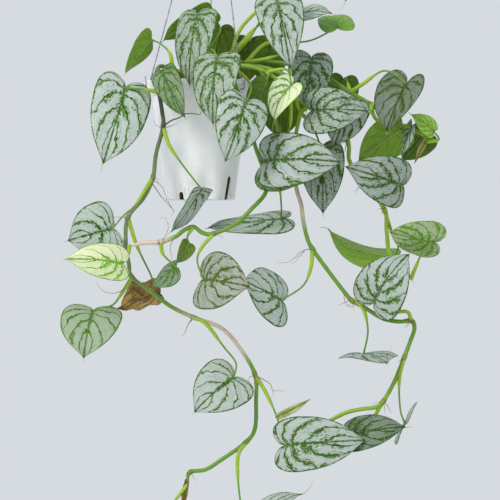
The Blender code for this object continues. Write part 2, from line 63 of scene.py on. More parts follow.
print("solid parts:", ", ".join(sorted(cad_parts)))

# %% [markdown]
# ## Places
#
# A plant is easiest to measure from its pot, so places are written in millimetres from the middle of the pot's rim:
# x to the right, y to the back, z up. The model itself is in metres and starts at the crown of the hook that it hangs
# by, so one small function turns the first kind of place into the second.

# %% Places
MM = 0.001
HOOK_CROWN = Vector((12, 0, 272))


def placed(point):
    return (Vector(point) - HOOK_CROWN) * MM


print("rim's middle in the model:", tuple(round(v, 3) for v in placed((0, 0, 0))))

# %% [markdown]
# ## Camera
#
# The plant hangs at eye height, so the camera is level with its middle. A long lens from a few metres away keeps the
# near leaves from growing too large against the far ones, as a portrait lens does.

# %% Camera
VIEW_CENTRE = (50, -20, -170)  # mm, in the plant's own places
CAMERA_DISTANCE = 3.5  # metres
PICTURE_WIDTH = 0.5  # metres across, at the view's centre

camera_data = bpy.data.cameras.new("camera")
camera_data.lens = camera_data.sensor_width * CAMERA_DISTANCE / PICTURE_WIDTH
camera = bpy.data.objects.new("camera", camera_data)
camera.location = placed(VIEW_CENTRE) - Vector((0, CAMERA_DISTANCE, 0))
camera.rotation_euler = (math.radians(90), 0, 0)
bpy.context.scene.collection.objects.link(camera)
bpy.context.scene.camera = camera
print("lens:", round(camera_data.lens), "mm")

# %% [markdown]
# ## Light
#
# Leaves show their silver best in soft light. A pale world gives light from all round, one large lamp above and to
# the left gives each leaf a bright and a darker half, and a weak one from the right keeps the shaded side readable.
# The plain view transform keeps the colours that are given below close to what the picture shows.

# %% Light
WORLD_COLOUR = (0.672, 0.708, 0.745, 1)
LIGHT_AIM = Vector((0.03, 0, -0.38))


def add_light(name, place, size, power):
    light = bpy.data.lights.new(name, "AREA")
    light.shape = "DISK"
    light.size = size
    light.energy = power
    lamp = bpy.data.objects.new(name, light)
    lamp.location = place
    lamp.rotation_euler = (LIGHT_AIM - Vector(place)).to_track_quat("-Z", "Y").to_euler()
    bpy.context.scene.collection.objects.link(lamp)


world = bpy.data.worlds.new("pale_studio")
world.use_nodes = True
world.node_tree.nodes["Background"].inputs["Color"].default_value = WORLD_COLOUR
world.node_tree.nodes["Background"].inputs["Strength"].default_value = 1.0
bpy.context.scene.world = world
bpy.context.scene.view_settings.view_transform = "Standard"
add_light("window", (-1.3, -1.6, 1.1), 1.2, 34)
add_light("fill", (1.8, -1.4, -0.2), 1.4, 4)
print("lamps aim at", tuple(round(v, 2) for v in LIGHT_AIM))

# %% [markdown]
# ## Floor
#
# The floor is a round plane below the lowest leaf. It isn't part of the plant, so it stays off the plant's body. It is
# drawn with bmesh, Blender's tool for building a mesh face by face, and two small functions turn such a drawing into
# an object. The pot's pieces use them too.

# %% Floor
FLOOR_RADIUS = 1.4
floor_height = cad_box[0].z - 0.1


def add_piece(name, mesh):
    piece = bpy.data.objects.new(name, mesh)
    bpy.context.scene.collection.objects.link(piece)
    return piece


def keep_shape(name, shape):
    """Turns a shape that was drawn face by face into a piece, and frees the drawing."""
    mesh = bpy.data.meshes.new(name)
    shape.to_mesh(mesh)
    shape.free()
    return add_piece(name, mesh)


disc = bmesh.new()
bmesh.ops.create_circle(
    disc, cap_ends=True, segments=96, radius=FLOOR_RADIUS, matrix=Matrix.Translation((0, 0, floor_height))
)
keep_shape("floor", disc)
print("floor at", round(floor_height, 3), "m")

# %% [markdown]
# ## Small helpers for node trees
#
# Shader trees and Geometry Nodes trees are both built from nodes and links, and each node takes several lines when it
# is placed by hand. These helpers keep it to one: `step` adds a node and feeds its inputs from plain values or from
# other nodes' sockets, `calc` does one sum with numbers and `vectors` one with vectors.

# %% Node helpers
def step(tree, kind, inputs=(), **settings):
    node = tree.nodes.new(kind)
    for key, value in settings.items():
        setattr(node, key, value)
    for key, value in dict(inputs).items():
        if isinstance(value, bpy.types.NodeSocket):
            tree.links.new(value, node.inputs[key])
        else:
            node.inputs[key].default_value = value
    return node


def calc(tree, operation, *values):
    return step(tree, "ShaderNodeMath", enumerate(values), operation=operation).outputs[0]


def vectors(tree, operation, *values):
    return step(tree, "ShaderNodeVectorMath", enumerate(values), operation=operation).outputs[0]


def scaled(tree, vector, factor):
    return step(tree, "ShaderNodeVectorMath", {0: vector, "Scale": factor}, operation="SCALE").outputs[0]


def join_xyz(tree, *values):
    return step(tree, "ShaderNodeCombineXYZ", enumerate(values)).outputs[0]


def split_xyz(tree, vector):
    return step(tree, "ShaderNodeSeparateXYZ", {0: vector}).outputs


def smooth_step(tree, value, low, high, start=0.0, end=1.0):
    """From start to end while a value climbs from low to high."""
    feeds = {"Value": value, "From Min": low, "From Max": high, "To Min": start, "To Max": end}
    return step(tree, "ShaderNodeMapRange", feeds, interpolation_type="SMOOTHSTEP").outputs[0]


def mix_colour(tree, factor, first, second):
    return step(tree, "ShaderNodeMix", {0: factor, 6: first, 7: second}, data_type="RGBA").outputs[2]


def noise_at(tree, vector, scale, detail=2.0):
    return step(tree, "ShaderNodeTexNoise", {"Vector": vector, "Scale": scale, "Detail": detail}).outputs[0]


print("node helpers ready")

# %% [markdown]
# ### Groups and materials
#
# A group is a tree with named sockets, made once and used in many places. `new_group` makes an empty one of either
# kind, and `finish_tree` ends one that makes geometry. `new_material` gives a material with its tree and its shader.
# Colours are easiest to read as a picture shows them, from 0 to 255, but shaders need linear light, so `colour` turns
# the one into the other.

# %% Groups and materials
def new_group(name, kind, inputs, outputs):
    """An empty node group with named sockets, given as (name, type, value)."""
    tree = bpy.data.node_groups.new(name, kind)
    for label, socket_type, *value in inputs:
        socket = tree.interface.new_socket(label, in_out="INPUT", socket_type="NodeSocket" + socket_type)
        if value:
            socket.default_value = value[0]
    for label, socket_type in outputs:
        tree.interface.new_socket(label, in_out="OUTPUT", socket_type="NodeSocket" + socket_type)
    return tree, tree.nodes.new("NodeGroupInput").outputs, tree.nodes.new("NodeGroupOutput").inputs


def finish_tree(tree, geometry, skin, result):
    """Ends a Geometry Nodes tree: copies become real faces, and the skin is put on them."""
    real = step(tree, "GeometryNodeRealizeInstances", {"Geometry": geometry}).outputs[0]
    skinned = step(tree, "GeometryNodeSetMaterial", {"Geometry": real, "Material": skin}).outputs[0]
    tree.links.new(skinned, result["Geometry"])
    print("tree:", tree.name, "with", len(tree.nodes), "nodes")


def new_material(name, **plain):
    """A material, its tree and its shader, with plain values set on the shader's own sockets."""
    material = bpy.data.materials.new(name)
    material.use_nodes = True
    shader = material.node_tree.nodes["Principled BSDF"]
    for label, value in plain.items():
        shader.inputs[label.replace("_", " ")].default_value = value
    return material, material.node_tree, shader


def colour(red, green, blue):
    """A colour as a picture shows it (0 to 255), turned into the linear values that shaders use."""
    return (*(((v / 255 + 0.055) / 1.055) ** 2.4 for v in (red, green, blue)), 1.0)


print("middle grey is", round(colour(128, 128, 128)[0], 3), "in linear light")

# %% [markdown]
# ## Growth tables
#
# A trailing stem is a line that swells at its nodes, and from each node grows one leaf: a stalk, then a heart-shaped
# blade. So the whole plant is a table. A `Stem` has its route from the mix to its tip, and each `Leaf` says which
# point of the route it grows from, how its stalk runs, where the blade starts and ends, how broad it is, and which way
# its upper side looks. The numbers are those of the solid parts.

# %% Table rows
HEART, LANCE = "heart", "lance"


class Leaf(NamedTuple):
    node: int  # the point of its stem that its stalk grows from
    stalk: tuple  # points that the stalk passes on its way to the blade
    heel: tuple  # where stalk and blade meet
    tip: tuple
    breadth: float
    face: tuple  # the way that the blade's upper side looks
    arch: float = 0.09  # how far the blade bows up, against its length
    fold: float = 0.16  # how steeply its halves rise from the midrib
    lobe: float = 0.75  # how far its two lobes reach back past the heel, against a full heart
    half: str = HEART


def bract(node, heel, tip, breadth, face):
    """The papery sheath that wrapped a new leaf, left standing at its node."""
    return Leaf(node, (), heel, tip, breadth, face, arch=0.06, fold=0.5, half=LANCE)


class Stem(NamedTuple):
    name: str
    route: tuple  # from its foot in the mix to its growing end
    nodes: tuple  # the points of the route where the stem swells
    leaves: tuple


print("rows:", Stem._fields, Leaf._fields)

# %% [markdown]
# ### The left vine
#
# Five long stems spill over the rim. They hang in loose curves, turn up again at some nodes, and carry their leaves
# facing the light. The left one is the longest. It goes down beside the pot, turns to the right under it, and comes
# back at its growing end, and its fourth leaf is dead.

# %% The left vine
LEFT_VINE = Stem(
    "vine_left",
    ((-22, -14, -18), (-26, -20, 6), (-38, -36, 13), (-43, -51, 5), (-40, -57, -14),
     (-37, -57, -33), (-36, -56, -48), (-43, -56, -75), (-46, -56, -98), (-55, -55, -118),
     (-71, -54, -138), (-73, -52, -163), (-70, -50, -184), (-67, -48, -197), (-45, -46, -214),
     (-27, -44, -227), (-6, -42, -237), (22, -42, -248), (41, -42, -269), (55, -42, -294),
     (56, -42, -320), (55, -42, -347), (46, -43, -361), (22, -44, -378), (6, -44, -388),
     (-10, -44, -391), (-12, -44, -403)),
    (4, 6, 8, 10, 13, 16, 19, 22, 25),
    (
        Leaf(4, ((-56, -60, -11),), (-73, -62, -10), (-94, -98, -86), 59, (.39, -.86, .34), .02, .18,
             .68),
        Leaf(6, ((-30, -60, -66), (-18, -63, -84)), (2, -67, -110), (-28, -54, -152), 44,
             (.05, -.05, -1), .02, .3, .3),
        Leaf(8, ((-63, -60, -125), (-75, -62, -136)), (-86, -63, -149), (-129, -80, -161), 62,
             (.26, -.85, .35), .02, .18, .68),
        Leaf(10, ((-62, -50, -166), (-50, -38, -192)), (-42, -35, -211), (-82, -38, -228), 28,
             (-.3, -.9, -.3), -.1, -.5),
        Leaf(13, ((-79, -54, -216), (-87, -58, -225)), (-105, -62, -230), (-113, -90, -276), 60,
             (-.1, -.8, .5)),
        Leaf(16, ((6, -46, -243), (24, -50, -266), (36, -52, -282)), (34, -54, -296), (-5, -68, -330),
             56, (-.1, -.9, .3)),
        Leaf(19, ((66, -46, -312), (76, -49, -334)), (85, -60, -363), (164, -63, -358), 54,
             (0, -1, .15)),
        Leaf(22, ((38, -46, -375), (39, -48, -408)), (45, -52, -446), (102, -60, -411), 50,
             (-.3, -.4, .85)),
        Leaf(26, ((-24, -46, -418),), (-36, -49, -434), (-52, -56, -480), 32, (-.3, -1, .3)),
        bract(19, (75, -49, -336), (110, -42, -318), 8, (0, -1, -.3)),
        bract(26, (-12, -44, -397), (-17, -43, -434), 6, (-.3, -1, 0)),
    ),
)
print("leaves and bracts:", len(LEFT_VINE.leaves))

# %% [markdown]
# ### The middle vine
#
# This one goes down at the front of the pot and turns left below it. Its newest leaf, at the end, is lime and cream.

# %% The middle vine
MIDDLE_VINE = Stem(
    "vine_middle",
    ((10, -22, -18), (12, -33, 8), (20, -50, 14), (32, -64, 0), (44, -62, -30), (56, -54, -70),
     (66, -50, -98), (65, -56, -114), (51, -66, -130), (36, -66, -144), (14, -64, -154),
     (3, -62, -153), (-6, -61, -147), (-16, -60, -151), (-24, -60, -157), (-38, -61, -162),
     (-55, -62, -163), (-69, -63, -166)),
    (6, 10, 15),
    (
        Leaf(6, ((78, -54, -106), (81, -44, -124)), (81, -34, -139), (8, -40, -148), 51,
             (.26, -.38, .89), .01, .07, .83),
        Leaf(10, ((2, -66, -168), (-2, -68, -181)), (4, -76, -199), (50, -102, -206), 59, (0, -1, .2)),
        Leaf(12, ((-12, -56, -157),), (-10, -52, -164), (-23, -46, -183), 17, (.5, .7, .2), .09, .16,
             .5),
        Leaf(15, ((-36, -60, -174),), (-23, -62, -187), (-48, -56, -207), 42, (-.74, -.4, .53), .02,
             .06, .45),
        Leaf(17, ((-70, -74, -175),), (-76, -84, -183), (-130, -99, -179), 37, (0, -1, .3)),
    ),
)
print("leaves:", len(MIDDLE_VINE.leaves))

# %% [markdown]
# ### The right vine
#
# The right vine makes a wide loop: down, out to the right, and back in below. Two of its leaves are seen almost edge
# on, so they look thin although they are about as broad as the others.

# %% The right vine
RIGHT_VINE = Stem(
    "vine_right",
    ((24, -12, -18), (32, -16, 8), (50, -26, 14), (64, -42, 2), (78, -52, -50), (92, -52, -92),
     (97, -50, -113), (101, -50, -126), (103, -50, -142), (107, -50, -159), (112, -50, -169),
     (127, -50, -190), (143, -50, -211), (151, -50, -220), (165, -50, -228), (182, -50, -238),
     (198, -51, -241), (210, -52, -240), (213, -52, -248), (209, -52, -260), (203, -52, -276),
     (198, -51, -289), (192, -50, -303), (182, -50, -320), (174, -49, -326), (160, -47, -328),
     (144, -45, -332), (124, -43, -343), (112, -42, -354)),
    (4, 10, 13, 17, 20, 23),
    (
        Leaf(10, ((110, -52, -189), (102, -50, -206)), (81, -46, -220), (43, -77, -200), 62,
             (.86, -.43, .27), .02, .1, 1),
        Leaf(13, ((162, -50, -228), (167, -46, -250)), (163, -42, -273), (184, -94, -281), 56,
             (0, -.2, 1), .04),
        Leaf(17, ((205, -56, -231), (186, -57, -232)), (172, -64, -222), (207, -66, -174), 57,
             (-.37, -.9, .24), .13, .18),
        Leaf(20, ((198, -52, -298), (199, -50, -328)), (204, -46, -343), (211, 4, -338), 46,
             (-.9, -.12, .45), .04),
        Leaf(23, ((168, -44, -344), (156, -42, -356)), (150, -50, -354), (204, -62, -345), 36,
             (.1, -.9, .4)),
    ),
)
print("leaves:", len(RIGHT_VINE.leaves))

# %% [markdown]
# ### The outer vine
#
# A shorter stem hangs behind the right vine. Some of its blades are turned over, so they show their undersides.

# %% The outer vine
OUTER_VINE = Stem(
    "vine_outer",
    ((34, 0, -18), (41, -5, 8), (58, -14, 14), (90, -28, 2), (128, -38, -26), (147, -42, -62),
     (149, -42, -82), (164, -38, -103), (184, -34, -130), (186, -34, -150), (189, -35, -176),
     (198, -36, -190), (210, -38, -199)),
    (3, 5, 7, 8, 12),
    (
        Leaf(7, ((190, -40, -122),), (201, -53, -106), (144, -73, -88), 49, (-.77, -.58, .26), .12,
             .15, .54),
        Leaf(8, ((190, -28, -148), (198, -20, -164)), (196, -18, -176), (128, -22, -149), 50,
             (.2, .44, -.88), .13, .42, .3),
        Leaf(12, ((215, -44, -186), (222, -50, -170)), (231, -52, -162), (188, -57, -152), 45,
             (-.69, -.66, -.3), .03, .06, 1.2),
        Leaf(3, ((86, -32, -4),), (82, -38, -14), (80, -38, -60), 46, (-.1, 1, .1)),
    ),
)
print("leaves:", len(OUTER_VINE.leaves))

# %% [markdown]
# ### The upper vine
#
# The last of the five reaches far out to the right, just below the rim's height. Small leaves stand at its end, one of
# them lime, beside the papery bracts that had wrapped them.

# %% The upper vine
UPPER_VINE = Stem(
    "vine_upper",
    ((30, 14, -18), (38, 14, 10), (62, 8, 20), (100, -8, 14), (130, -24, 0), (150, -32, -13),
     (170, -36, -25), (186, -35, -37), (200, -34, -46), (212, -34, -51), (222, -34, -55),
     (227, -34, -62)),
    (5, 6, 8, 11),
    (
        Leaf(5, ((162, -38, -5), (184, -46, 8)), (205, -54, -5), (185, -62, -53), 56,
             (-.36, -.56, .74), .04, .42, 1.14),
        Leaf(5, ((146, -14, 2),), (144, -6, 0), (138, 4, -48), 32, (.1, 1, .2)),
        Leaf(8, ((208, -26, -46),), (200, -20, -50), (158, -24, -83), 42, (-.2, 1, .2)),
        Leaf(10, ((230, -24, -50),), (226, -14, -54), (203, -2, -80), 32, (.1, 1, .1)),
        Leaf(6, ((175, -44, -40), (187, -48, -44)), (210, -52, -48), (201, -38, -77), 26,
             (-.97, -.15, -.2), .04),
        Leaf(11, ((238, -37, -60),), (232, -38, -51), (210, -46, -35.5), 19, (.1, -1, .3)),
        bract(6, (170, -36, -22), (163, -44, -45), 11, (-.3, -1, .2)),
        bract(11, (227, -34, -58), (214, -30, -84), 6, (-.4, -1, 0)),
    ),
)

TRAILING = (LEFT_VINE, MIDDLE_VINE, RIGHT_VINE, OUTER_VINE, UPPER_VINE)
print("leaves and bracts on trailing stems:", sum(len(stem.leaves) for stem in TRAILING))

# %% [markdown]
# ### The crown's left and front
#
# Five short shoots stand close together in the mix. Their leaves make the full head of the plant, on all sides. A
# shoot's stem is short, so its leaves stand on stalks that fan out from close together.

# %% Left and front shoots
LEFT_SHOOT = Stem(
    "shoot_left",
    ((-6, -16, -18), (-3, -28, 6), (-4, -38, 7), (-14, -45, 7), (-27, -52, 9)),
    (1, 2, 4),
    (
        Leaf(4, (), (-37, -67, 7), (-14, -88, -40), 28, (-.24, -.97, .03), .07, .06, .3),
        Leaf(4, ((-29, -54, 24), (-38, -48, 34)), (-48, -44, 39), (-73, -66, 5), 34, (-.74, .49, .46),
             .03, .33, .36),
        Leaf(2, ((-2, -32, 40), (2, -36, 60)), (-2, -42, 66), (-10, -60, -7), 44, (-.45, -.75, .48),
             .06, .07, .3),
        Leaf(1, ((0, -12, 40), (10, -20, 64)), (10, -20, 68), (-37, -10, 40), 38, (.03, .47, .88),
             .03, .15, .54),
        Leaf(1, ((8, -8, 30), (20, 16, 50)), (20, 20, 54), (8, 34, 8), 32, (.2, 1, .1)),
    ),
)

FRONT_SHOOT = Stem(
    "shoot_front",
    ((2, -28, -18), (3, -39, 4), (8, -52, 13), (22, -62, 11)),
    (1, 2, 3),
    (
        Leaf(2, ((12, -62, 28),), (18, -75, 20), (14, -91, -47), 50, (-.17, -.27, .95), .07, .11, .36),
        Leaf(3, ((41, -66, 4), (51, -80, -10)), (46, -102, -26), (26, -120, -84), 50, (.17, -.98, .12),
             .08, .08, .72),
    ),
)
print("leaves:", len(LEFT_SHOOT.leaves) + len(FRONT_SHOOT.leaves))

# %% [markdown]
# ### The crown's top and right
#
# These two shoots carry the highest leaves, and the ones that hang over the right side of the rim.

# %% Top and right shoots
TOP_SHOOT = Stem(
    "shoot_top",
    ((12, 4, -18), (16, 2, 14), (30, -4, 22), (46, -8, 18)),
    (1, 2, 3),
    (
        Leaf(2, ((52, -18, 46), (70, -30, 76)), (77, -38, 79), (90, -80, 8), 47, (-.06, -.89, .45),
             .15, .13, 1),
        Leaf(3, ((64, -18, 21), (86, -26, 25)), (111, -36, 21), (106, -50, -32), 44, (.1, -1, .3)),
        Leaf(3, ((68, -4, 38), (108, 0, 40)), (138, 0, 54), (132, 50, 68), 36, (0, -.4, .9)),
        Leaf(2, ((56, 4, 54), (86, 0, 66)), (100, -6, 67), (132, -12, 67), 36, (0, -.5, .9)),
        Leaf(2, ((46, 8, 60), (108, 18, 108)), (160, 12, 126), (146, -6, 80), 34, (.3, -.8, .5)),
        Leaf(1, ((40, 22, 40),), (50, 30, 42), (48, 42, 0), 34, (0, 1, .3)),
        Leaf(3, ((60, 2, 34),), (72, 8, 38), (64, 10, -8), 36, (.1, 1, .2)),
    ),
)

RIGHT_SHOOT = Stem(
    "shoot_right",
    ((20, -26, -18), (26, -36, 8), (40, -50, 13), (66, -56, 6), (90, -58, -14), (100, -58, -34)),
    (2, 3, 4, 5),
    (
        Leaf(3, ((86, -66, 8),), (91, -80, -8), (74, -71, -42), 42, (-.74, -.63, .26), .13, .35, .9),
        Leaf(4, ((100, -66, -24),), (111, -74, -33), (166, -84, -34), 48, (0, -1, .3)),
        Leaf(4, ((90, -66, -44), (84, -75, -62)), (68, -82, -82), (139, -90, -84), 57, (0, -1, .3)),
        Leaf(5, ((116, -53, -22), (134, -55, -14)), (148, -60, -24), (133, -66, -68), 44,
             (.1, -1, .2)),
        Leaf(5, ((92, -58, -66), (80, -62, -80)), (64, -68, -86), (112, -74, -94), 50, (0, -1, .1)),
        Leaf(5, ((112, -54, -48),), (121, -56, -70), (122, -66, -134), 44, (0, -1, .2)),
        Leaf(3, ((68, -62, 4),), (66, -62, -6), (50, -62, -40), 28, (-.2, 1, .1)),
    ),
)
print("leaves:", len(TOP_SHOOT.leaves) + len(RIGHT_SHOOT.leaves))

# %% [markdown]
# ### The crown's back
#
# A plant is looked at from all sides, so the last shoot fills the back. `STEMS` then holds the whole plant.

# %% Back shoot
BACK_SHOOT = Stem(
    "shoot_back",
    ((-10, 18, -18), (-12, 26, 8), (-16, 44, 15), (-20, 63, 4), (-24, 68, -24), (-22, 70, -54)),
    (1, 2, 3, 4, 5),
    (
        Leaf(1, ((-15, 20, 28),), (-9, 26, 42), (-15, 46, 22), 24, (-.3, .7, .6)),
        Leaf(3, ((-24, 72, 14),), (-28, 80, 8), (-30, 92, -46), 44, (-.2, 1, .3)),
        Leaf(4, ((-10, 78, -22),), (2, 82, -26), (12, 92, -82), 46, (.2, 1, .2)),
        Leaf(5, ((-22, 74, -66),), (-18, 78, -74), (-12, 84, -124), 40, (-.2, 1, .2)),
    ),
)

STEMS = (*TRAILING, LEFT_SHOOT, FRONT_SHOOT, TOP_SHOOT, RIGHT_SHOOT, BACK_SHOOT)
print("leaves and bracts in all:", sum(len(stem.leaves) for stem in STEMS))

# %% [markdown]
# ## Smooth lines
#
# A few measured points make a natural curve when a Catmull-Rom spline runs through them: it passes every point and
# never turns a corner. `through` reads such a spline at any fractional position, so a colour or a thickness that is
# given at the same points can follow the same line.

# %% Smooth lines
def through(values, at):
    """The smooth curve through a list of values, read at fractional positions of that list."""
    values = np.array(values, float)
    values = np.vstack([2 * values[0] - values[1], values, 2 * values[-1] - values[-2]])
    first = np.clip(np.floor(at).astype(int), 0, len(values) - 4)
    t = (at - first)[:, None]
    a, b, c, d = (values[first + k] for k in range(4))
    return 0.5 * (2 * b + (c - a) * t + (2 * a - 5 * b + 4 * c - d) * t**2 + (3 * b - a - 3 * c + d) * t**3)


def positions(points, spacing):
    """Fractional positions of a list of points, about one spacing apart along their curve."""
    parts = []
    for k, (a, b) in enumerate(zip(points, points[1:])):
        count = max(1, round((Vector(b) - Vector(a)).length / spacing))
        parts.append(k + np.arange(count) / count)
    return np.concatenate([*parts, [len(points) - 1.0]])


def run_lengths(line):
    """How far along a line each of its points is."""
    return np.concatenate([[0.0], np.cumsum(np.linalg.norm(np.diff(line, axis=0), axis=1))])


longest = through(LEFT_VINE.route, positions(LEFT_VINE.route, 2.5))
print("longest stem:", round(run_lengths(longest)[-1]), "mm")

# %% [markdown]
# ## Stems and stalks by Geometry Nodes
#
# Everything round that grows, and the steel rods too, is one kind of thing: a circle carried along a line. Modelling
# each by hand would be slow and uneven. Here the lines are drawn as plain edges that carry a thickness and a colour
# at each point, and one Geometry Nodes tree sweeps a circle along them all, so a swollen node or a tapering stalk is
# just a bump in the numbers.

# %% The sweeping tree
sweep, given, result = new_group(
    "round_growth", "GeometryNodeTree",
    [("Geometry", "Geometry"), ("Sides", "Int", 8), ("Skin", "Material")], [("Geometry", "Geometry")],
)
lines = step(sweep, "GeometryNodeMeshToCurve", {"Mesh": given["Geometry"]})
thickness = step(sweep, "GeometryNodeInputNamedAttribute", {"Name": "thickness"}, data_type="FLOAT")
ring = step(sweep, "GeometryNodeCurvePrimitiveCircle", {"Resolution": given["Sides"], "Radius": 1.0})
swept = step(
    sweep, "GeometryNodeCurveToMesh",
    {"Curve": lines.outputs[0], "Profile Curve": ring.outputs[0], "Scale": thickness.outputs[0], "Fill Caps": True},
)
finish_tree(sweep, swept.outputs[0], given["Skin"], result)

# %% [markdown]
# A tree acts on an object through a modifier. Each of its inputs is set by the socket's identifier, then the
# evaluated result is kept as a plain mesh and the modifier goes. `hand_over` tells the frame what a finished piece is.

# %% Run a tree, hand over a piece
def hand_over(piece, node=None):
    """Puts the piece on the root body, and hides the solid part that it stands for."""
    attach(piece, "root")
    if node:
        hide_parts(node)
    return piece


def run_tree(piece, tree, values, smooth=True):
    """Runs a Geometry Nodes tree on a piece, and keeps the result as the piece's own plain mesh."""
    modifier = piece.modifiers.new(tree.name, "NODES")
    modifier.node_group = tree
    for item in tree.interface.items_tree:
        if item.item_type == "SOCKET" and item.in_out == "INPUT" and item.name in values:
            modifier[item.identifier] = values[item.name]
    graph = bpy.context.evaluated_depsgraph_get()
    mesh = bpy.data.meshes.new_from_object(
        piece.evaluated_get(graph), preserve_all_data_layers=True, depsgraph=graph
    )
    piece.modifiers.clear()
    piece.data = mesh
    mesh.shade_smooth() if smooth else mesh.shade_flat()
    return piece


print("ready to run", sweep.name)

# %% [markdown]
# `Strands` collects the lines of one piece. The lines could be curve objects, but a mesh of loose edges can carry any
# number of lines at once, with a thickness and a colour as attributes of its points, so one run of the tree makes the
# whole piece.

# %% Lines of one piece
class Strands:
    """Lines that will be swept: their points in metres, with a radius and a colour each."""

    def __init__(self):
        self.points, self.thickness, self.tints, self.edges = [], [], [], []

    def add(self, line, radius, tints):
        start = len(self.points)
        self.points += [placed(p) for p in line]
        self.thickness += [float(r) * MM for r in np.broadcast_to(radius, len(line))]
        self.tints += [tuple(t) for t in np.broadcast_to(np.array(tints, float), (len(line), 4))]
        self.edges += [(k, k + 1) for k in range(start, len(self.points) - 1)]

    def piece(self, name, skin, sides, tree=sweep):
        mesh = bpy.data.meshes.new(name)
        mesh.from_pydata(self.points, self.edges, [])
        mesh.attributes.new("thickness", "FLOAT", "POINT").data.foreach_set("value", self.thickness)
        tint = mesh.attributes.new("tint", "FLOAT_COLOR", "POINT")
        tint.data.foreach_set("color", np.ravel(self.tints))
        return run_tree(add_piece(name, mesh), tree, {"Sides": sides, "Skin": skin})


print("lines are swept by the tree", sweep.name)

# %% [markdown]
# ## Skin of stems, stalks and roots
#
# Nothing that has grown, or been moulded, is one even colour. A broad noise and a fine one, added together, make it a
# little brighter here and darker there, and a little rough. This mottling is a node group, because stems, leaves, mix,
# plastic and steel all need the same effect in other sizes.

# %% Mottling, a shader group for every material
mottle, given, result = new_group(
    "mottle", "ShaderNodeTree",
    [("Vector", "Vector"), ("Scale", "Float", 100.0), ("Strength", "Float", 0.2)],
    [("Brightness", "Float"), ("Height", "Float")],
)
broad = noise_at(mottle, given["Vector"], given["Scale"], 3)
fine = noise_at(mottle, given["Vector"], calc(mottle, "MULTIPLY", given["Scale"], 6.0), 2)
both = calc(mottle, "ADD", calc(mottle, "MULTIPLY", broad, 0.7), calc(mottle, "MULTIPLY", fine, 0.3))
swing = calc(mottle, "MULTIPLY", calc(mottle, "SUBTRACT", both, 0.5), calc(mottle, "MULTIPLY", given["Strength"], 2.0))
mottle.links.new(calc(mottle, "ADD", swing, 1.0), result["Brightness"])
mottle.links.new(both, result["Height"])


def use_mottle(tree, vector, scale, strength):
    """Places the mottling group, and returns its brightness and height."""
    feeds = {"Vector": vector, "Scale": scale, "Strength": strength}
    return step(tree, "ShaderNodeGroup", feeds, node_tree=mottle).outputs[:2]


print("mottling group:", len(mottle.nodes), "nodes")

# %% [markdown]
# A young stem is smooth and waxy, and an old one has faint bumps. The colour comes from the `tint` that each line
# carries, so one material serves olive, grey-green, pinkish and bright green growth. Patterns read the object's own
# coordinates, so they stay on a piece when it is moved.

# %% Skins of stems and roots
def times(tree, colour_socket, factor):
    """A colour made brighter or darker by a factor."""
    return vectors(tree, "MULTIPLY", colour_socket, join_xyz(tree, factor, factor, factor))


def object_place(tree):
    return step(tree, "ShaderNodeTexCoord").outputs["Object"]


def finish_skin(tree, shader, skin, roughness, height, distance):
    """Feeds the shader its colour, its roughness, and a height as a bump, whose distance is in metres."""
    bump = step(tree, "ShaderNodeBump", {"Height": height, "Distance": distance, "Strength": 1.0})
    for label, socket in (("Base Color", skin), ("Roughness", roughness), ("Normal", bump.outputs[0])):
        tree.links.new(socket, shader.inputs[label])


def skin_material(name, scale, strength, bump, **plain):
    """A skin coloured by the piece's own tint, mottled and finely bumped."""
    material, tree, shader = new_material(name, **plain)
    tint = step(tree, "ShaderNodeAttribute", attribute_name="tint").outputs["Color"]
    brightness, height = use_mottle(tree, object_place(tree), scale, strength)
    roughness = smooth_step(tree, height, 0.2, 0.8, 0.34, 0.56)
    finish_skin(tree, shader, times(tree, tint, brightness), roughness, height, bump)
    return material


stem_skin = skin_material("stem_skin", 160, 0.35, 0.0003, Coat_Weight=0.12, Coat_Roughness=0.35)
root_skin = skin_material("root_skin", 500, 0.5, 0.0004, Specular_IOR_Level=0.3)
print("skins:", stem_skin.name, root_skin.name)

# %% [markdown]
# ## Colours along the stems
#
# Old wood near the pot is dark olive, the middle of a vine is grey-green with pinkish stretches, and the growing end
# is bright. Each trailing stem has a few colour stops at points of its own route, and the crown's shoots share two.
# Brown rings at the nodes are old leaf scars.

# %% Stem colours
OLIVE = colour(58, 62, 34)
GREY_GREEN = colour(120, 138, 84)
GREEN = colour(102, 148, 28)
BRIGHT = colour(152, 186, 42)
PINKISH = colour(216, 196, 174)
BROWN = colour(122, 86, 46)
TIP_TINT = colour(178, 172, 104)
MIDRIB = colour(140, 170, 84)
STEM_COLOURS = {
    "vine_left": ((3, GREY_GREEN), (4, OLIVE), (5, OLIVE), (8, GREY_GREEN), (12, GREY_GREEN), (15, GREEN),
                  (16.5, PINKISH), (18, PINKISH), (18.6, GREEN), (26, GREEN)),
    "vine_middle": ((0, GREEN), (14, GREEN), (15, PINKISH), (17, PINKISH)),
    "vine_right": ((0, GREEN), (5, GREEN), (6, PINKISH), (7.5, PINKISH), (8.5, GREEN), (18, GREEN), (28, BRIGHT)),
    "vine_outer": ((0, GREEN), (6, BRIGHT), (12, BRIGHT)),
    "vine_upper": ((0, GREEN), (7, GREEN), (11, BRIGHT)),
}


def stem_tints(name, at):
    """A stem's colour at fractional positions of its route."""
    stops = STEM_COLOURS.get(name, ((0, GREEN), (5, BRIGHT)))
    return np.stack([np.interp(at, [s[0] for s in stops], [s[1][k] for s in stops]) for k in range(4)], axis=1)


print("stems with their own colours:", ", ".join(STEM_COLOURS))

# %% [markdown]
# ## The blade's form
#
# A heart-shaped blade is a fan: lines run out from its midrib to its outline, crowded at the heel and spread towards
# the tip. So every point of it has two numbers, which fan line it is on and how far out it is, and its veins follow
# the fan. The blade bows along its length, rises to both sides of the midrib, and droops again at its margin.

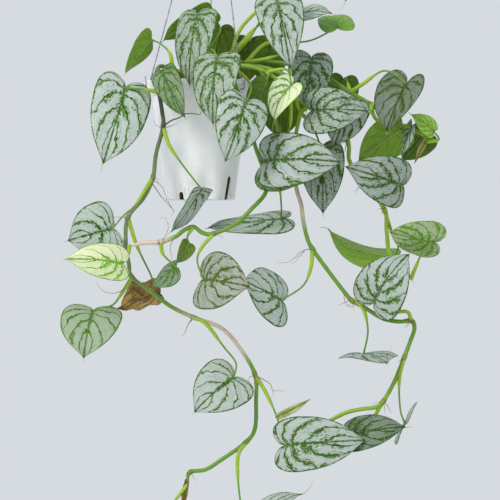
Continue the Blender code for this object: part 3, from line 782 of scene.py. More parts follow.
# %% Outlines
# For each fan line: (across / breadth, along / length) of its outer end, and along / length of its start on the midrib
OUTLINES = {
    HEART: ((0, 0, 0), (.03, -.08, .01), (.09, -.14, .025), (.20, -.19, .045), (.31, -.19, .07), (.41, -.13, .10),
            (.48, -.01, .14), (.51, .13, .19), (.50, .27, .26), (.475, .41, .35), (.42, .55, .46), (.325, .70, .60),
            (.21, .82, .74), (.10, .91, .86), (.04, .96, .94), (0, 1, 1)),
    LANCE: ((0, 0, 0), (.32, .04, .03), (.45, .14, .10), (.50, .28, .22), (.47, .46, .40), (.35, .66, .60),
            (.16, .86, .80), (0, 1, 1)),
}
FAN_LINES = 15
DRAWN_LINES = {HEART: 44, LANCE: 20}  # how many lines of a blade's fan are drawn
FAN_STEPS = np.array([.06, .16, .30, .46, .62, .78, .91, 1.0])  # from the midrib out to the margin
BLADE_CURL = 0.10  # how far the margin droops, against the breadth
VEIN_REACH = 4.6  # how many fan lines a side vein crosses on its way out
VEIN_SPACING = 2.5  # fan lines from one side vein to the next
QUILT = 0.45  # mm that the blade rises between two veins
print("outline points:", {half: len(points) for half, points in OUTLINES.items()})

# %% [markdown]
# One class turns a row of the table into a surface. It first finds the leaf's own three directions: along the midrib,
# up from its face, and across. `point` places any spot of the blade, and `sheet` lays rows of spots from the midrib
# out to the margin on both sides and joins them with faces. The midrib uses `point` too, so it always lies on its
# blade.

# %% The blade's surface
class Blade:
    """The surface of one leaf's blade, in millimetres."""

    def __init__(self, leaf, dice):
        self.leaf = leaf
        self.heel, tip = np.array(leaf.heel, float), np.array(leaf.tip, float)
        self.length = np.linalg.norm(tip - self.heel)
        self.along = (tip - self.heel) / self.length
        up = np.array(leaf.face, float)
        up -= up @ self.along * self.along
        self.up = up / np.linalg.norm(up)
        self.side = np.cross(self.along, self.up)
        self.phase = dice.uniform(0, 6.28, 3)
        self.wave = dice.uniform(0.5, 1.3)

    def point(self, x, y, lift):
        """A place on the blade: x across and y along, against its breadth and length, and a lift in millimetres."""
        leaf = self.leaf
        rounded = np.sqrt(x * x + 0.0006) - 0.0245
        bow = 4 * leaf.arch * self.length * y * (1 - y)
        rise = bow + leaf.breadth * (leaf.fold * rounded - BLADE_CURL * (2 * x) ** 2) + lift
        return (self.heel + np.multiply.outer(x * leaf.breadth, self.side)
                + np.multiply.outer(y * self.length, self.along) + np.multiply.outer(rise, self.up))

    def sheet(self):
        """The whole blade: points, faces, and each point's place in the fan and in the plane of the leaf."""
        leaf = self.leaf
        outline = np.array(OUTLINES[leaf.half])
        columns = DRAWN_LINES[leaf.half]
        at = np.linspace(0, len(outline) - 1, columns)
        x_out, y_out, y_rib = through(outline, at).T
        y_out = np.where(y_out < 0, y_out * leaf.lobe, y_out)
        line = at * FAN_LINES / (len(outline) - 1)
        points, fan, flat, faces = [], [], [], []

        def lay(x, y, w, line_here):
            vein = (line_here - VEIN_REACH * abs(w) ** 1.1) / VEIN_SPACING
            swell = QUILT * np.cos(2 * np.pi * vein) * np.sin(np.pi * min(1, abs(w)) ** 0.8)
            ripple = self.wave * abs(w) ** 3 * np.sin(line_here * 0.9 + self.phase[0] + (3 if w > 0 else 0))
            points.extend(self.point(x, y, swell * (leaf.half == HEART) + ripple))
            fan.extend((w, k, along) for k, along in zip(line_here, y))
            flat.extend(zip(x * leaf.breadth, y * self.length))

        lay(np.zeros(columns), y_rib, 0.0, line)
        for hand in (-1, 1):
            inner = list(range(columns))
            for w in FAN_STEPS:
                start = len(points)
                inside = slice(1, columns - 1)
                x, y = hand * w * x_out[inside], (y_rib + w * (y_out - y_rib))[inside]
                lay(x, y, hand * w, line[inside])
                outer = [0, *range(start, start + columns - 2), columns - 1]
                for a, b, c, d in zip(inner, inner[1:], outer[1:], outer):
                    corners = list(dict.fromkeys((a, d, c, b)))
                    faces.append(corners if hand > 0 else corners[::-1])
                inner = outer
        return np.array(points), faces, np.array(fan), np.array(flat)


sample = Blade(LEFT_VINE.leaves[0], np.random.default_rng(1))
print("first blade:", round(sample.length), "mm long,", len(sample.sheet()[0]), "points")

# %% [markdown]
# ## The silver pattern
#
# The silver of this plant isn't paint: it is a film of air under the leaf's skin, and it is missing along the veins.
# So green flecks crowd along the midrib, the arching side veins and the margin, and thin out into the silver between
# them. A picture would repeat on every leaf. The group below first works out how near each point is to a vein, in
# the blade's own fan, and then lets a fine grain decide: near a vein almost all of it turns green, and far from one
# hardly any. The grain starts elsewhere on every leaf, so no two are alike.

# %% Veins and bands, a shader group
veins, given, result = new_group(
    "leaf_veins", "ShaderNodeTree",
    [("Fan", "Vector"), ("Place", "Vector"), ("Width", "Float", 0.2), ("Flecks", "Float", 0.0)],
    [("Green", "Float"), ("Haze", "Float"), ("Vein", "Float"), ("Streak", "Float"), ("Height", "Float")],
)


def sums(operation, *values):
    return calc(veins, operation, *values)


fan_xyz = split_xyz(veins, given["Fan"])
place_xyz = split_xyz(veins, given["Place"])
out_share, fan_line, along_share = sums("ABSOLUTE", fan_xyz[0]), fan_xyz[1], fan_xyz[2]
ragged = noise_at(veins, given["Place"], 0.42, 3)
drift = noise_at(veins, given["Place"], 0.09, 1)
patches = noise_at(veins, given["Place"], 0.05, 2)

bent = sums("MULTIPLY", sums("POWER", out_share, 1.1), VEIN_REACH)
start_line = sums("SUBTRACT", fan_line, bent)
wander = sums("MULTIPLY", sums("SUBTRACT", drift, 0.5), 0.8)
order = sums("ADD", sums("DIVIDE", start_line, VEIN_SPACING), wander)
from_vein = sums("ABSOLUTE", sums("SUBTRACT", sums("FRACT", sums("ADD", order, 0.5)), 0.5))

width = given["Width"]
for share in (
    smooth_step(veins, out_share, 0.0, 1.0, 1.0, 0.55),
    smooth_step(veins, start_line, 8.5, 11.5, 1.0, 0.1),
    smooth_step(veins, patches, 0.36, 0.62, 0.25, 1.35),
):
    width = sums("MULTIPLY", width, share)
near_vein = sums("SUBTRACT", 1.0, sums("DIVIDE", from_vein, sums("MULTIPLY", width, 2.5)))
print("side veins:", VEIN_SPACING, "fan lines apart")

# %% [markdown]
# The midrib's band tapers from heel to tip, and a thin green line runs round the margin. Two grains decide what turns
# green, one stretched along the fan and one even. Half as far again round the green lies a haze where the silver is
# dull. Between the bands run fine streaks along the fan. The height sinks the veins a little and adds the skin's
# fine grain.

# %% Midrib, margin, flecks and streaks
from_rib = sums("ABSOLUTE", place_xyz[0])
rib_width = smooth_step(veins, along_share, 0.0, 0.75, 3.8, 1.2)
near_rib = sums("SUBTRACT", 1.0, sums("DIVIDE", from_rib, rib_width))
near_edge = smooth_step(veins, out_share, 0.90, 1.0, -0.6, 1.15)
near_tip = smooth_step(veins, along_share, 0.9, 1.0, -0.6, 1.1)
near = sums("MAXIMUM", sums("MAXIMUM", near_vein, near_rib), sums("MAXIMUM", near_edge, near_tip))
near = sums("MAXIMUM", near, sums("SUBTRACT", given["Flecks"], 0.42))


def fanned(across, outwards):
    """A noise whose grains follow the fan: how many there are across one vein's spacing, and from rib to margin."""
    grains = join_xyz(veins, sums("MULTIPLY", order, across), sums("MULTIPLY", out_share, outwards), place_xyz[2])
    return noise_at(veins, grains, 1.0, 2)


grain = sums("ADD", sums("MULTIPLY", fanned(9.0, 11.0), 3.2), sums("MULTIPLY", ragged, 2.4))
field = sums("ADD", near, sums("SUBTRACT", grain, 2.8))
veins.links.new(smooth_step(veins, field, 0.38, 0.62), result["Green"])
veins.links.new(smooth_step(veins, field, -0.35, 0.5), result["Haze"])

fine_vein = smooth_step(veins, from_vein, 0.0, 0.05, 1.0, 0.0)
fine_vein = sums("MULTIPLY", fine_vein, smooth_step(veins, out_share, 0.5, 1.0, 1.0, 0.2))
fine_rib = smooth_step(veins, from_rib, 0.25, 0.9, 1.0, 0.0)
vein = sums("MAXIMUM", fine_vein, fine_rib)
veins.links.new(vein, result["Vein"])
streak = fanned(14.0, 2.5)
veins.links.new(streak, result["Streak"])
raised = sums("ADD", sums("MULTIPLY", vein, -0.8), sums("MULTIPLY", streak, 0.25))
veins.links.new(sums("ADD", raised, sums("MULTIPLY", ragged, 0.3)), result["Height"])
print("pattern group:", len(veins.nodes), "nodes")

# %% [markdown]
# ## Upper side and underside
#
# The upper side is satin. The underside is a plain, paler green where the veins stand out light, because the air film
# is only under the upper skin. Young leaves are lime and cream, and a dead leaf is ochre and brown.

# %% Leaf colours
SILVER = colour(192, 200, 196)
SILVER_SHADE = colour(150, 168, 142)
DARK_GREEN = colour(40, 84, 4)
MID_GREEN = colour(82, 130, 26)
LIME = colour(132, 186, 40)
CREAM = colour(224, 232, 184)
STRAW = colour(214, 180, 96)
OCHRE = colour(168, 122, 44)
SCORCHED = colour(92, 66, 50)
UNDER_GREEN = colour(112, 152, 18)
UNDER_PALE = colour(158, 184, 112)
UNDER_VEIN = colour(160, 192, 110)
print("silver reflects", round(SILVER[1] / DARK_GREEN[1], 1), "times as much green light as the bands do")

# %% [markdown]
# Every blade carries a `look`: how much silver it has, how young it is, and how dry. The material mixes its colours by
# these three numbers and by the pattern's masks, so two materials, one for each side, serve every leaf of the plant.

# %% Leaf materials
def leaf_material(name, upper, **plain):
    material, tree, shader = new_material(name, **plain)
    fan_in, place_in, look_in, extra_in = (
        step(tree, "ShaderNodeAttribute", attribute_name=label).outputs["Vector"]
        for label in ("fan", "leaf_place", "look", "extra")
    )
    silver, young, dry = split_xyz(tree, look_in)
    width, leaf_brightness, flecks = split_xyz(tree, extra_in)
    feeds = {"Fan": fan_in, "Place": place_in, "Width": width, "Flecks": flecks}
    pattern = step(tree, "ShaderNodeGroup", feeds, node_tree=veins).outputs
    if upper:
        deep = mix_colour(tree, smooth_step(tree, pattern["Streak"], 0.35, 0.65), DARK_GREEN, MID_GREEN)
        deep = mix_colour(tree, young, deep, LIME)
        dull = calc(tree, "MAXIMUM", pattern["Haze"], smooth_step(tree, pattern["Streak"], 0.62, 0.4, 0.0, 0.55))
        pale = mix_colour(tree, dull, SILVER, SILVER_SHADE)
        pale = mix_colour(tree, young, pale, CREAM)
        bare = calc(tree, "MULTIPLY", silver, calc(tree, "SUBTRACT", 1.0, pattern["Green"]))
        skin = mix_colour(tree, bare, deep, pale)
    else:
        skin = mix_colour(tree, young, UNDER_GREEN, LIME)
        skin = mix_colour(tree, smooth_step(tree, pattern["Streak"], 0.42, 0.68, 0.0, 0.7), skin, UNDER_PALE)
        skin = mix_colour(tree, calc(tree, "MULTIPLY", pattern["Vein"], 0.6), skin, UNDER_VEIN)
    withered = mix_colour(tree, smooth_step(tree, pattern["Streak"], 0.35, 0.65), OCHRE, STRAW)
    scorch = calc(tree, "MULTIPLY", pattern["Haze"], smooth_step(tree, dry, 0.85, 0.95, 0.0, 0.7))
    withered = mix_colour(tree, scorch, withered, SCORCHED)
    skin = mix_colour(tree, dry, skin, withered)
    brightness, height = use_mottle(tree, place_in, 0.16, 0.16)
    # each leaf's brightness, which holds the painted shade of the shaded and dim looks and one leaf's painted light
    skin = times(tree, skin, calc(tree, "MULTIPLY", brightness, leaf_brightness))
    roughness = smooth_step(tree, pattern["Green"], 0.0, 1.0, 0.46, 0.36)
    relief = calc(tree, "ADD", pattern["Height"], calc(tree, "MULTIPLY", height, 0.3))
    finish_skin(tree, shader, skin, roughness, relief, 0.0011 if upper else -0.0009)
    return material


leaf_upper = leaf_material("leaf_upper", True, Specular_IOR_Level=0.28)
leaf_under = leaf_material("leaf_under", False, Specular_IOR_Level=0.22)
print("leaf materials:", leaf_upper.name, leaf_under.name)

# %% [markdown]
# ## Which leaf looks how
#
# Most leaves are silver. A few are darker, some young, one dead, and some are seen from below. Leaves in the crown's
# shade are darkened as painted shade. A look is given a name here, so that one word for each row of the growth tables
# is enough.

# %% Looks
# (silver, young, dry), width of the green bands, loose flecks, brightness
LOOKS = {
    "silver": ((1, 0, 0), 0.15, 0.0, 1.0),
    "bright": ((1, 0, 0), 0.13, 0.0, 1.06),
    "grey": ((1, 0, 0), 0.16, 0.1, .90),
    "muted": ((1, 0, 0), 0.15, 0.0, .83),
    "flecked": ((1, 0, 0), 0.17, 0.5, .77),
    "pale": ((1, .02, 0), 0.09, 0.0, 1.0),
    # painted shade: brightness .77 darkens leaves that lie in shade
    "dim": ((.95, 0, 0), 0.17, 0.15, .77),
    "deep": ((.9, 0, 0), 0.26, 0.5, .72),
    "night": ((.55, 0, 0), 0.32, 0.2, .66),
    "mossy": ((.85, .05, 0), 0.22, 0.45, .85),
    "streaky": ((.85, .05, 0), 0.24, 0.35, .86),
    "sage": ((.6, .18, 0), 0.10, 0.0, .93),
    "taupe": ((.9, 0, .10), 0.16, 0.1, .80),
    "brownish": ((.6, .04, .05), 0.18, 0.1, .56),
    "dark": ((.1, 0, 0), 0.30, 0.0, .66),
    "green": ((.4, .1, 0), 0.30, 0.3, .86),
    # painted shade: brightness .54 darkens leaves deep in the crown
    "shaded": ((.8, 0, 0), 0.20, 0.2, .54),
    "olive": ((.8, .15, 0), 0.16, 0.0, 1.12),
    # painted light: this look brightens a leaf's underside by a fifth, as a painted highlight
    "dusty": ((.7, .0, 0), 0.16, 0.0, 1.2),
    "yellowed": ((.7, .4, 0), 0.18, 0.0, .95),
    "fresh": ((.6, .5, 0), 0.26, 0.3, 1.0),
    "lime": ((.3, 1, 0), 0.30, 0.2, 1.0),
    "cream": ((.85, .9, 0), 0.13, 0.1, 1.02),
    "whitish": ((1, .55, 0), 0.13, 0.2, 1.06),
    "sprout": ((.08, .5, 0), 0.30, 0.0, 1.05),
    "dead": ((.2, .1, .97), 0.25, 0.0, .95),
    "straw": ((.9, .9, .3), 0.05, 0.0, 1.0),
    "russet": ((.1, .0, .95), 0.1, 0.0, .7),
    "leafy": ((.1, .9, .05), 0.1, 0.0, 1.1),
    "blush": ((.9, .7, .5), 0.05, 0.0, 1.0),
}
print("looks:", len(LOOKS))

# %% [markdown]
# The words of a stem stand in the order of its leaves and bracts. On two young leaves one half is plain cream, without
# the pattern, so these are named with the side that stays plain.

# %% The look of each leaf
LEAF_LOOKS = {
    "vine_left": "bright silver pale dead sage pale silver silver leafy straw russet",
    "vine_middle": "silver taupe dark green cream",
    "vine_right": "bright grey grey pale night",
    "vine_outer": "dim olive fresh night",
    # the third leaf of the upper vine is brightened as painted light on its underside
    "vine_upper": "brownish shaded dusty shaded bright lime leafy blush",
    "shoot_left": "green yellowed mossy yellowed shaded",
    "shoot_front": "streaky silver",
    "shoot_top": "grey deep sprout silver silver shaded shaded",
    "shoot_right": "whitish flecked muted dim green flecked shaded",
    # the back shoot's leaves are darkened as painted shade of the crown
    "shoot_back": "shaded shaded dim dim",
}
# Young leaves with one half plain cream: their stem and number, and the side of the midrib that it is on
CREAM_HALVES = {("vine_middle", 5): 1, ("shoot_right", 1): -1}
print("leaves and bracts with a look:", sum(len(words.split()) for words in LEAF_LOOKS.values()))

# %% [markdown]
# ## Blades
#
# All blades of a stem are one mesh. Each point carries its place in the fan, its place in the plane of the leaf, and
# the leaf's look, for the materials to read. A live Solidify gives the sheet its half millimetre, and hands its second
# side to the underside's material. The dead leaf is the same sheet, crumpled with noise.

# %% Make the blades
LEAF_THICKNESS = 0.5 * MM
FOLD_SIZE, FOLD_DEPTH = 14, 5.5  # mm, of the dead leaf's folds
LEAF_SHIFT, STEM_SHIFT = 61.0, 700  # how far the grain's start moves from leaf to leaf, and from stem to stem
noise.seed_set(12)  # without a seed, noise vectors start from the clock and differ from run to run


def crumple(points, size, amount):
    return points + np.array([noise.noise_vector(Vector(p) / size) for p in points]) * amount


def make_blades(stem, number):
    dice = np.random.default_rng(100 + number)
    points, faces, fan, flat, looks, extra = [], [], [], [], [], []
    for order, (leaf, word) in enumerate(zip(stem.leaves, LEAF_LOOKS[stem.name].split()), 1):
        look, width, flecks, brightness = LOOKS[word]
        places, corners, leaf_fan, leaf_flat = Blade(leaf, dice).sheet()
        if word == "dead":
            places = crumple(places, FOLD_SIZE, FOLD_DEPTH)
        start = sum(len(p) for p in points)
        faces += [[start + c for c in face] for face in corners]
        count = len(places)
        points.append(places)
        fan.append(leaf_fan)
        flat.append(np.column_stack([leaf_flat, np.full(count, LEAF_SHIFT * order + STEM_SHIFT * number)]))
        half = CREAM_HALVES.get((stem.name, order), 0)
        plain = np.clip(4 * half * leaf_fan[:, :1] - 0.4, 0, 1)
        looks.append(np.array(look) * (1 - plain) + np.array((1, 1, 0)) * plain)
        rest = np.array((width, brightness * dice.uniform(0.95, 1.03), flecks))
        extra.append(rest * (1 - plain) + rest * (0.1, 1, 0) * plain)
    mesh = bpy.data.meshes.new(stem.name + "_leaves")
    mesh.from_pydata([placed(p) for p in np.concatenate(points)], [], faces)
    for label, rows in (("fan", fan), ("leaf_place", flat), ("look", looks), ("extra", extra)):
        attribute = mesh.attributes.new(label, "FLOAT_VECTOR", "POINT")
        attribute.data.foreach_set("vector", np.concatenate(rows).astype(np.float32).ravel())
    mesh.shade_smooth()
    mesh.materials.append(leaf_upper)
    mesh.materials.append(leaf_under)
    piece = add_piece(stem.name + "_leaves", mesh)
    thick = piece.modifiers.new("Thickness", "SOLIDIFY")
    thick.thickness = LEAF_THICKNESS
    thick.offset = 0
    thick.material_offset = 1
    return hand_over(piece, stem.name)


blade_pieces = [make_blades(stem, number) for number, stem in enumerate(STEMS)]
print("faces of all blades:", sum(len(piece.data.polygons) for piece in blade_pieces))

# %% [markdown]
# ## Stems, stalks and midribs
#
# A stem swells at each node and narrows at its growing end. A stalk is a thick, bright sheath for its first half and a
# thin neck above it. Both are lines, so a swelling is a wider ring at the right distance along the line, and a scar is
# a brown one beside it.

# %% Lay stems and stalks
RING_SPACING = 2.2  # mm from one point of a stem's or stalk's line to the next
STEM_RADIUS = 2.1
NODE_SWELLING = 0.32  # how much thicker a stem is at a node
SCAR_DARKNESS = 0.75
STALK_RADIUS = 1.0


def lay_stem(strands, stem):
    at = positions(stem.route, RING_SPACING)
    line = through(stem.route, at)
    along = run_lengths(line)
    radius = np.full(len(line), STEM_RADIUS)
    tints = stem_tints(stem.name, at)
    for k in stem.nodes:
        away = np.abs(along - np.interp(k, at, along))
        radius = np.maximum(radius, STEM_RADIUS * (1 + NODE_SWELLING * np.exp(-((away / 3.2) ** 2))))
        scar = SCAR_DARKNESS * np.exp(-((np.abs(away - 1.5) / 1.1) ** 2))[:, None]
        tints = tints * (1 - scar) + np.array(BROWN) * scar
    radius *= np.interp(along[-1] - along, [0, 2, 14], [0.25, 0.6, 1.0])
    radius *= 1 + 0.03 * np.sin(along * 0.55)
    strands.add(line, radius, tints)


def lay_stalk(strands, stem, leaf):
    route = [stem.route[leaf.node], *leaf.stalk, leaf.heel]
    at = positions(route, RING_SPACING)
    line = through(route, at)
    share = run_lengths(line) / max(1e-6, run_lengths(line)[-1])
    radius = STALK_RADIUS * np.interp(share, [0, .08, .40, .46, .9, 1], [2.2, 2.1, 1.75, 1.0, .85, 1.1])
    sheath = np.interp(share, [0, .42, .5], [1.0, 1.0, 0.0])[:, None]
    strands.add(line, radius, np.array(BRIGHT) * sheath + np.array(GREEN) * (1 - sheath))


print("stem thickness:", 2 * STEM_RADIUS, "to", round(2 * STEM_RADIUS * (1 + NODE_SWELLING), 1), "mm")

# %% [markdown]
# The stalk runs on under the blade as the midrib, down to the drip tip that lets rain fall off. On some leaves that
# tip is long or bent, so those have an entry of their own.

# %% Lay the midribs
RIB_POINTS = 16
RIB_SINK = 0.45  # mm that the midrib's centre lies under the blade's middle
DRIP = (4, -0.25)  # a plain drip tip, in the terms of the longer ones below
# Stem and leaf of the drip tips that are longer: their length in mm, and how far they bend towards the upper side
LONG_DRIPS = {
    ("vine_left", 1): (9, -0.2), ("vine_left", 7): (8, 0.1), ("vine_left", 8): (17, 0.5),
    ("vine_right", 2): (13, 1.6), ("vine_right", 5): (8, 0.3), ("vine_outer", 2): (9, 0.2),
    ("shoot_top", 1): (7, -0.2), ("shoot_top", 5): (11, -0.2), ("shoot_right", 1): (13, -0.2),
    ("shoot_left", 4): (7, -0.2),
}


def lay_midrib(strands, blade, tint, drip, lift):
    line = blade.point(np.zeros(RIB_POINTS), np.linspace(0, 1, RIB_POINTS), np.full(RIB_POINTS, -RIB_SINK))
    bend = blade.side * 0.3 * math.sin(blade.phase[1]) + blade.up * lift
    beyond = [line[-1] + (blade.along * t + bend * t * t) * drip for t in (0.3, 0.65, 1.0)]
    radius = np.concatenate([np.linspace(0.75, 0.42, RIB_POINTS), [0.36, 0.26, 0.12]])
    fade = np.concatenate([np.zeros(RIB_POINTS - 1), [0.5, 1, 1, 1]])[:, None]
    strands.add(np.vstack([line, beyond]), radius, tint * (1 - fade) + np.array(TIP_TINT) * fade)


print("longer drip tips:", len(LONG_DRIPS))

# %% [markdown]
# Each stem then becomes one piece, with its stalks and midribs, and goes through the sweeping tree once. A bract has
# neither stalk nor midrib, so only heart-shaped leaves get them.

# %% Make the stems
def make_stem(stem, number):
    strands = Strands()
    dice = np.random.default_rng(100 + number)
    lay_stem(strands, stem)
    words = LEAF_LOOKS[stem.name].split()
    for order, (leaf, word) in enumerate(zip(stem.leaves, words), 1):
        if leaf.half == HEART:
            lay_stalk(strands, stem, leaf)
            (*_, dry), _, _, brightness = LOOKS[word]
            # the midrib takes its leaf's brightness, painted shade and painted light included
            tint = np.array(OCHRE if dry > 0.9 else MIDRIB) * brightness
            lay_midrib(strands, Blade(leaf, dice), tint, *LONG_DRIPS.get((stem.name, order), DRIP))
    piece = strands.piece(stem.name + "_stem", stem_skin, sides=10)
    return hand_over(piece, stem.name)


stem_pieces = [make_stem(stem, number) for number, stem in enumerate(STEMS)]
print("faces of all stems:", sum(len(piece.data.polygons) for piece in stem_pieces))

# %% [markdown]
# ## Aerial roots
#
# At its nodes the plant puts out thin brown roots that feel for something to hold. The long ones are easy to see, so
# they have routes of their own.

# %% Long roots
ROOT_LIGHT = colour(176, 140, 98)
ROOT_DARK = colour(86, 66, 52)
# Each long root: the points that it passes, its radius at the start, and how dark it is
LONG_ROOTS = (
    (((-37, -58, -48), (-31, -62, -44), (-20, -62, -39), (-11, -63, -35), (0, -62, -36), (2, -60, -33)), .85, 1.0),
    (((-36, -58, -49), (-30, -62, -48), (-25, -61, -46), (-22, -61, -44)), .45, 1.0),
    (((-39, -57, -49), (-44, -59, -46), (-45, -58, -41)), .3, .6),
    (((-46, -57, -101), (-41, -61, -104), (-36, -61, -109), (-32, -60, -118), (-24, -60, -121)), .45, .1),
    (((-46, -57, -105), (-42, -60, -111), (-36, -60, -119), (-30, -60, -126), (-24, -58, -132)), .5, .8),
    (((-33, -60, -119), (-28, -61, -127), (-26, -60, -131), (-28, -60, -136)), .4, .7),
    (((-38, -61, -161), (-33, -62, -156), (-31, -61, -146), (-34, -60, -138), (-40, -58, -139)), .4, .3),
    (((112, -50, -169), (104, -54, -170), (98, -55, -174), (90, -55, -181), (80, -55, -183), (76, -54, -181)), .5, .4),
    (((104, -54, -171), (98, -53, -178), (91, -52, -184)), .35, .7),
    (((143, -50, -213), (144, -54, -221), (148, -55, -226), (154, -54, -225), (153, -52, -219)), .4, .1),
    (((55, -43, -294), (62, -46, -298), (70, -46, -303), (73, -46, -310), (79, -46, -309), (85, -45, -311)), .55, .4),
    (((71, -46, -305), (73, -47, -312), (72, -46, -316)), .35, .3),
    (((54, -43, -295), (50, -46, -296), (48, -45, -301)), .4, .6),
    (((-7, -43, -238), (-12, -47, -245), (-14, -46, -252), (-18, -46, -256)), .5, .7),
    (((-67, -49, -199), (-77, -54, -210), (-88, -56, -213), (-97, -54, -209), (-103, -53, -202)), .45, .3),
    (((-25, -61, -158), (-29, -63, -168), (-27, -62, -178), (-31, -61, -184)), .4, .4),
)
print("long roots:", len(LONG_ROOTS))

# %% [markdown]
# Every node also gets one to three short roots that wander at random, with a fixed seed. All roots waver a little and
# get thinner towards the end, and the same sweeping tree makes them.

# %% Make the roots
def lay_root(strands, route, radius, darkness):
    at = positions(route, 1.6)
    line = through(route, at)
    share = run_lengths(line) / run_lengths(line)[-1]
    line[1:] += np.array([noise.noise_vector(Vector(p) * 0.35) for p in line[1:]]) * 0.7
    tint = np.array(ROOT_LIGHT) * (1 - darkness) + np.array(ROOT_DARK) * darkness
    strands.add(line, radius * (1 - 0.72 * share), tint)


def lay_short_root(strands, start, dice):
    """A root of a few millimetres that leaves a node to one side and droops."""
    way = dice.normal(size=3) * (1, 0.7, 0.5) + (0, -0.3, -0.35)
    way /= np.linalg.norm(way)
    length = dice.uniform(4, 13)
    bend = dice.normal(size=3) * 0.25
    route = [np.array(start, float) + way * length * t + (bend + (0, 0, -0.25)) * length * t * t
             for t in (0, .35, .7, 1)]
    lay_root(strands, route, dice.uniform(0.25, 0.45), dice.uniform(0.1, 0.9))


roots = Strands()
for route, radius, darkness in LONG_ROOTS:
    lay_root(roots, route, radius, darkness)
dice = np.random.default_rng(7)
for stem in STEMS:
    for k in stem.nodes:
        for _ in range(dice.integers(1, 4)):
            lay_short_root(roots, stem.route[k], dice)
root_piece = roots.piece("aerial_roots", root_skin, sides=6)
hand_over(root_piece)
print("root faces:", len(root_piece.data.polygons))

# %% [markdown]
# ## The pot
#
# The pot is one thin plastic moulding. A turned profile gives its wall, its floor and its turned-down rim with small
# rounded edges. Eight flutes draw the wall in towards the foot, and each ends in a drainage slit, which a Boolean cuts
# right through, as the mould's pins do. The rim has a hole for each hanger wire.

# %% Pot sizes
# In millimetres, and in degrees from the right for the bearings
RIM_RADIUS = 56.5
RIM_DROP = 9
WALL_TOP_RADIUS = 50.2
FOOT_RADIUS = 35
POT_HEIGHT = 120
WALL = 1.6
WIRE_BEARINGS = {"wire_left": 200, "wire_back": 80, "wire_right": 320}
WIRE_HOLE_RING = 52.6
WIRE_HOLE_RADIUS = 1.3
SLITS = 8
FIRST_SLIT = -35
SLIT_WIDTH = 5.4
LONG_SLIT_TOP = -96
SHORT_SLIT_TOP = -112
LONG_SLIT_EVERY = 4
FLUTE_TOP = -74
FLUTE_DEPTH = 4
POT_TURNS = 192  # faces round the pot


def slit_bearing(number):
    return math.radians(360 / SLITS * number + FIRST_SLIT)


def wall_radius(depth):
    """The pot's outer radius at a depth below its rim."""
    return WALL_TOP_RADIUS + (FOOT_RADIUS - WALL_TOP_RADIUS) * depth / POT_HEIGHT


def fluted(x, y, z):
    """A point of the wall, drawn inwards where a flute runs down to the foot."""
    depth = min(1, max(0, (FLUTE_TOP - z) / (POT_HEIGHT + FLUTE_TOP)))
    wave = 0.5 + 0.5 * math.cos(SLITS * math.atan2(y, x) - SLITS * slit_bearing(0))
    radius = max(1e-9, math.hypot(x, y))
    pull = FLUTE_DEPTH * depth * wave**2 * min(1, radius / FOOT_RADIUS)
    return Vector((x * (radius - pull) / radius, y * (radius - pull) / radius, z))


print("wall radius at mid height:", round(wall_radius(60), 1), "mm")

# %% [markdown]
# A profile is a list of radius and height. `turned` makes a closed, merged mesh of revolution from it, and `rounded`
# puts a short arc on a corner, because moulded edges are never sharp.

# %% Turning a profile
def rounded(before, corner, after, radius, steps=4):
    """A corner of a profile, as a short arc."""
    a, b, c = Vector(before), Vector(corner), Vector(after)
    start = b + (a - b).normalized() * radius
    end = b + (c - b).normalized() * radius
    arc = []
    for k in range(steps + 1):
        t = k / steps
        arc.append(tuple(start * (1 - t) ** 2 + b * 2 * t * (1 - t) + end * t * t))
    return arc


def turned(name, profile, turns, shape):
    """A closed solid of revolution from (radius, height) pairs, from axis to axis, whose points `shape` may move."""
    solid = bmesh.new()
    rings = []
    for r, z in profile:
        if r < 1e-6:
            rings.append([solid.verts.new(placed(shape(0, 0, z)))] * turns)
            continue
        angles = (2 * math.pi * k / turns for k in range(turns))
        rings.append([solid.verts.new(placed(shape(r * math.cos(a), r * math.sin(a), z))) for a in angles])
    for inner, outer in zip(rings, rings[1:]):
        for k in range(turns):
            corners = (inner[k], inner[(k + 1) % turns], outer[(k + 1) % turns], outer[k])
            solid.faces.new(list(dict.fromkeys(corners)))
    bmesh.ops.recalc_face_normals(solid, faces=solid.faces)
    piece = keep_shape(name, solid)
    piece.data.shade_smooth()
    return piece


print("corner arc:", [tuple(round(v, 2) for v in p) for p in rounded((0, 1), (1, 1), (1, 0), 0.5, 2)])

# %% [markdown]
# Cutters are ordinary meshes that a Boolean takes away. After the cut the result is kept as a plain mesh and the
# cutter is deleted. The rim's holes are cut with round rods.

# %% Cutting
def cut_away(piece, cutter):
    modifier = piece.modifiers.new("Cut", "BOOLEAN")
    modifier.operation = "DIFFERENCE"
    modifier.object = cutter
    modifier.solver = "EXACT"
    graph = bpy.context.evaluated_depsgraph_get()
    mesh = bpy.data.meshes.new_from_object(piece.evaluated_get(graph))
    piece.modifiers.clear()
    piece.data = mesh
    bpy.data.objects.remove(cutter)


def rods(name, ends, radius):
    """Round cutters, each between two places."""
    shape = bmesh.new()
    for start, end in ends:
        start, end = Vector(start), Vector(end)
        turn = (end - start).to_track_quat("Z", "Y").to_matrix().to_4x4()
        bmesh.ops.create_cone(
            shape, cap_ends=True, segments=24, radius1=radius * MM, radius2=radius * MM,
            depth=(end - start).length * MM, matrix=Matrix.Translation(placed((start + end) / 2)) @ turn,
        )
    return keep_shape(name, shape)


def ring_place(bearing, radius, height):
    angle = math.radians(bearing)
    return Vector((radius * math.cos(angle), radius * math.sin(angle), height))


print("wire holes at:", [tuple(round(v) for v in ring_place(b, WIRE_HOLE_RING, 0)) for b in WIRE_BEARINGS.values()])

# %% [markdown]
# A slit's outline is an arch on a slot. It is drawn once at the near end and once at the far end of the cut, and the
# two are joined all round, which gives a closed cutter. Two of the slits are longer than the rest.

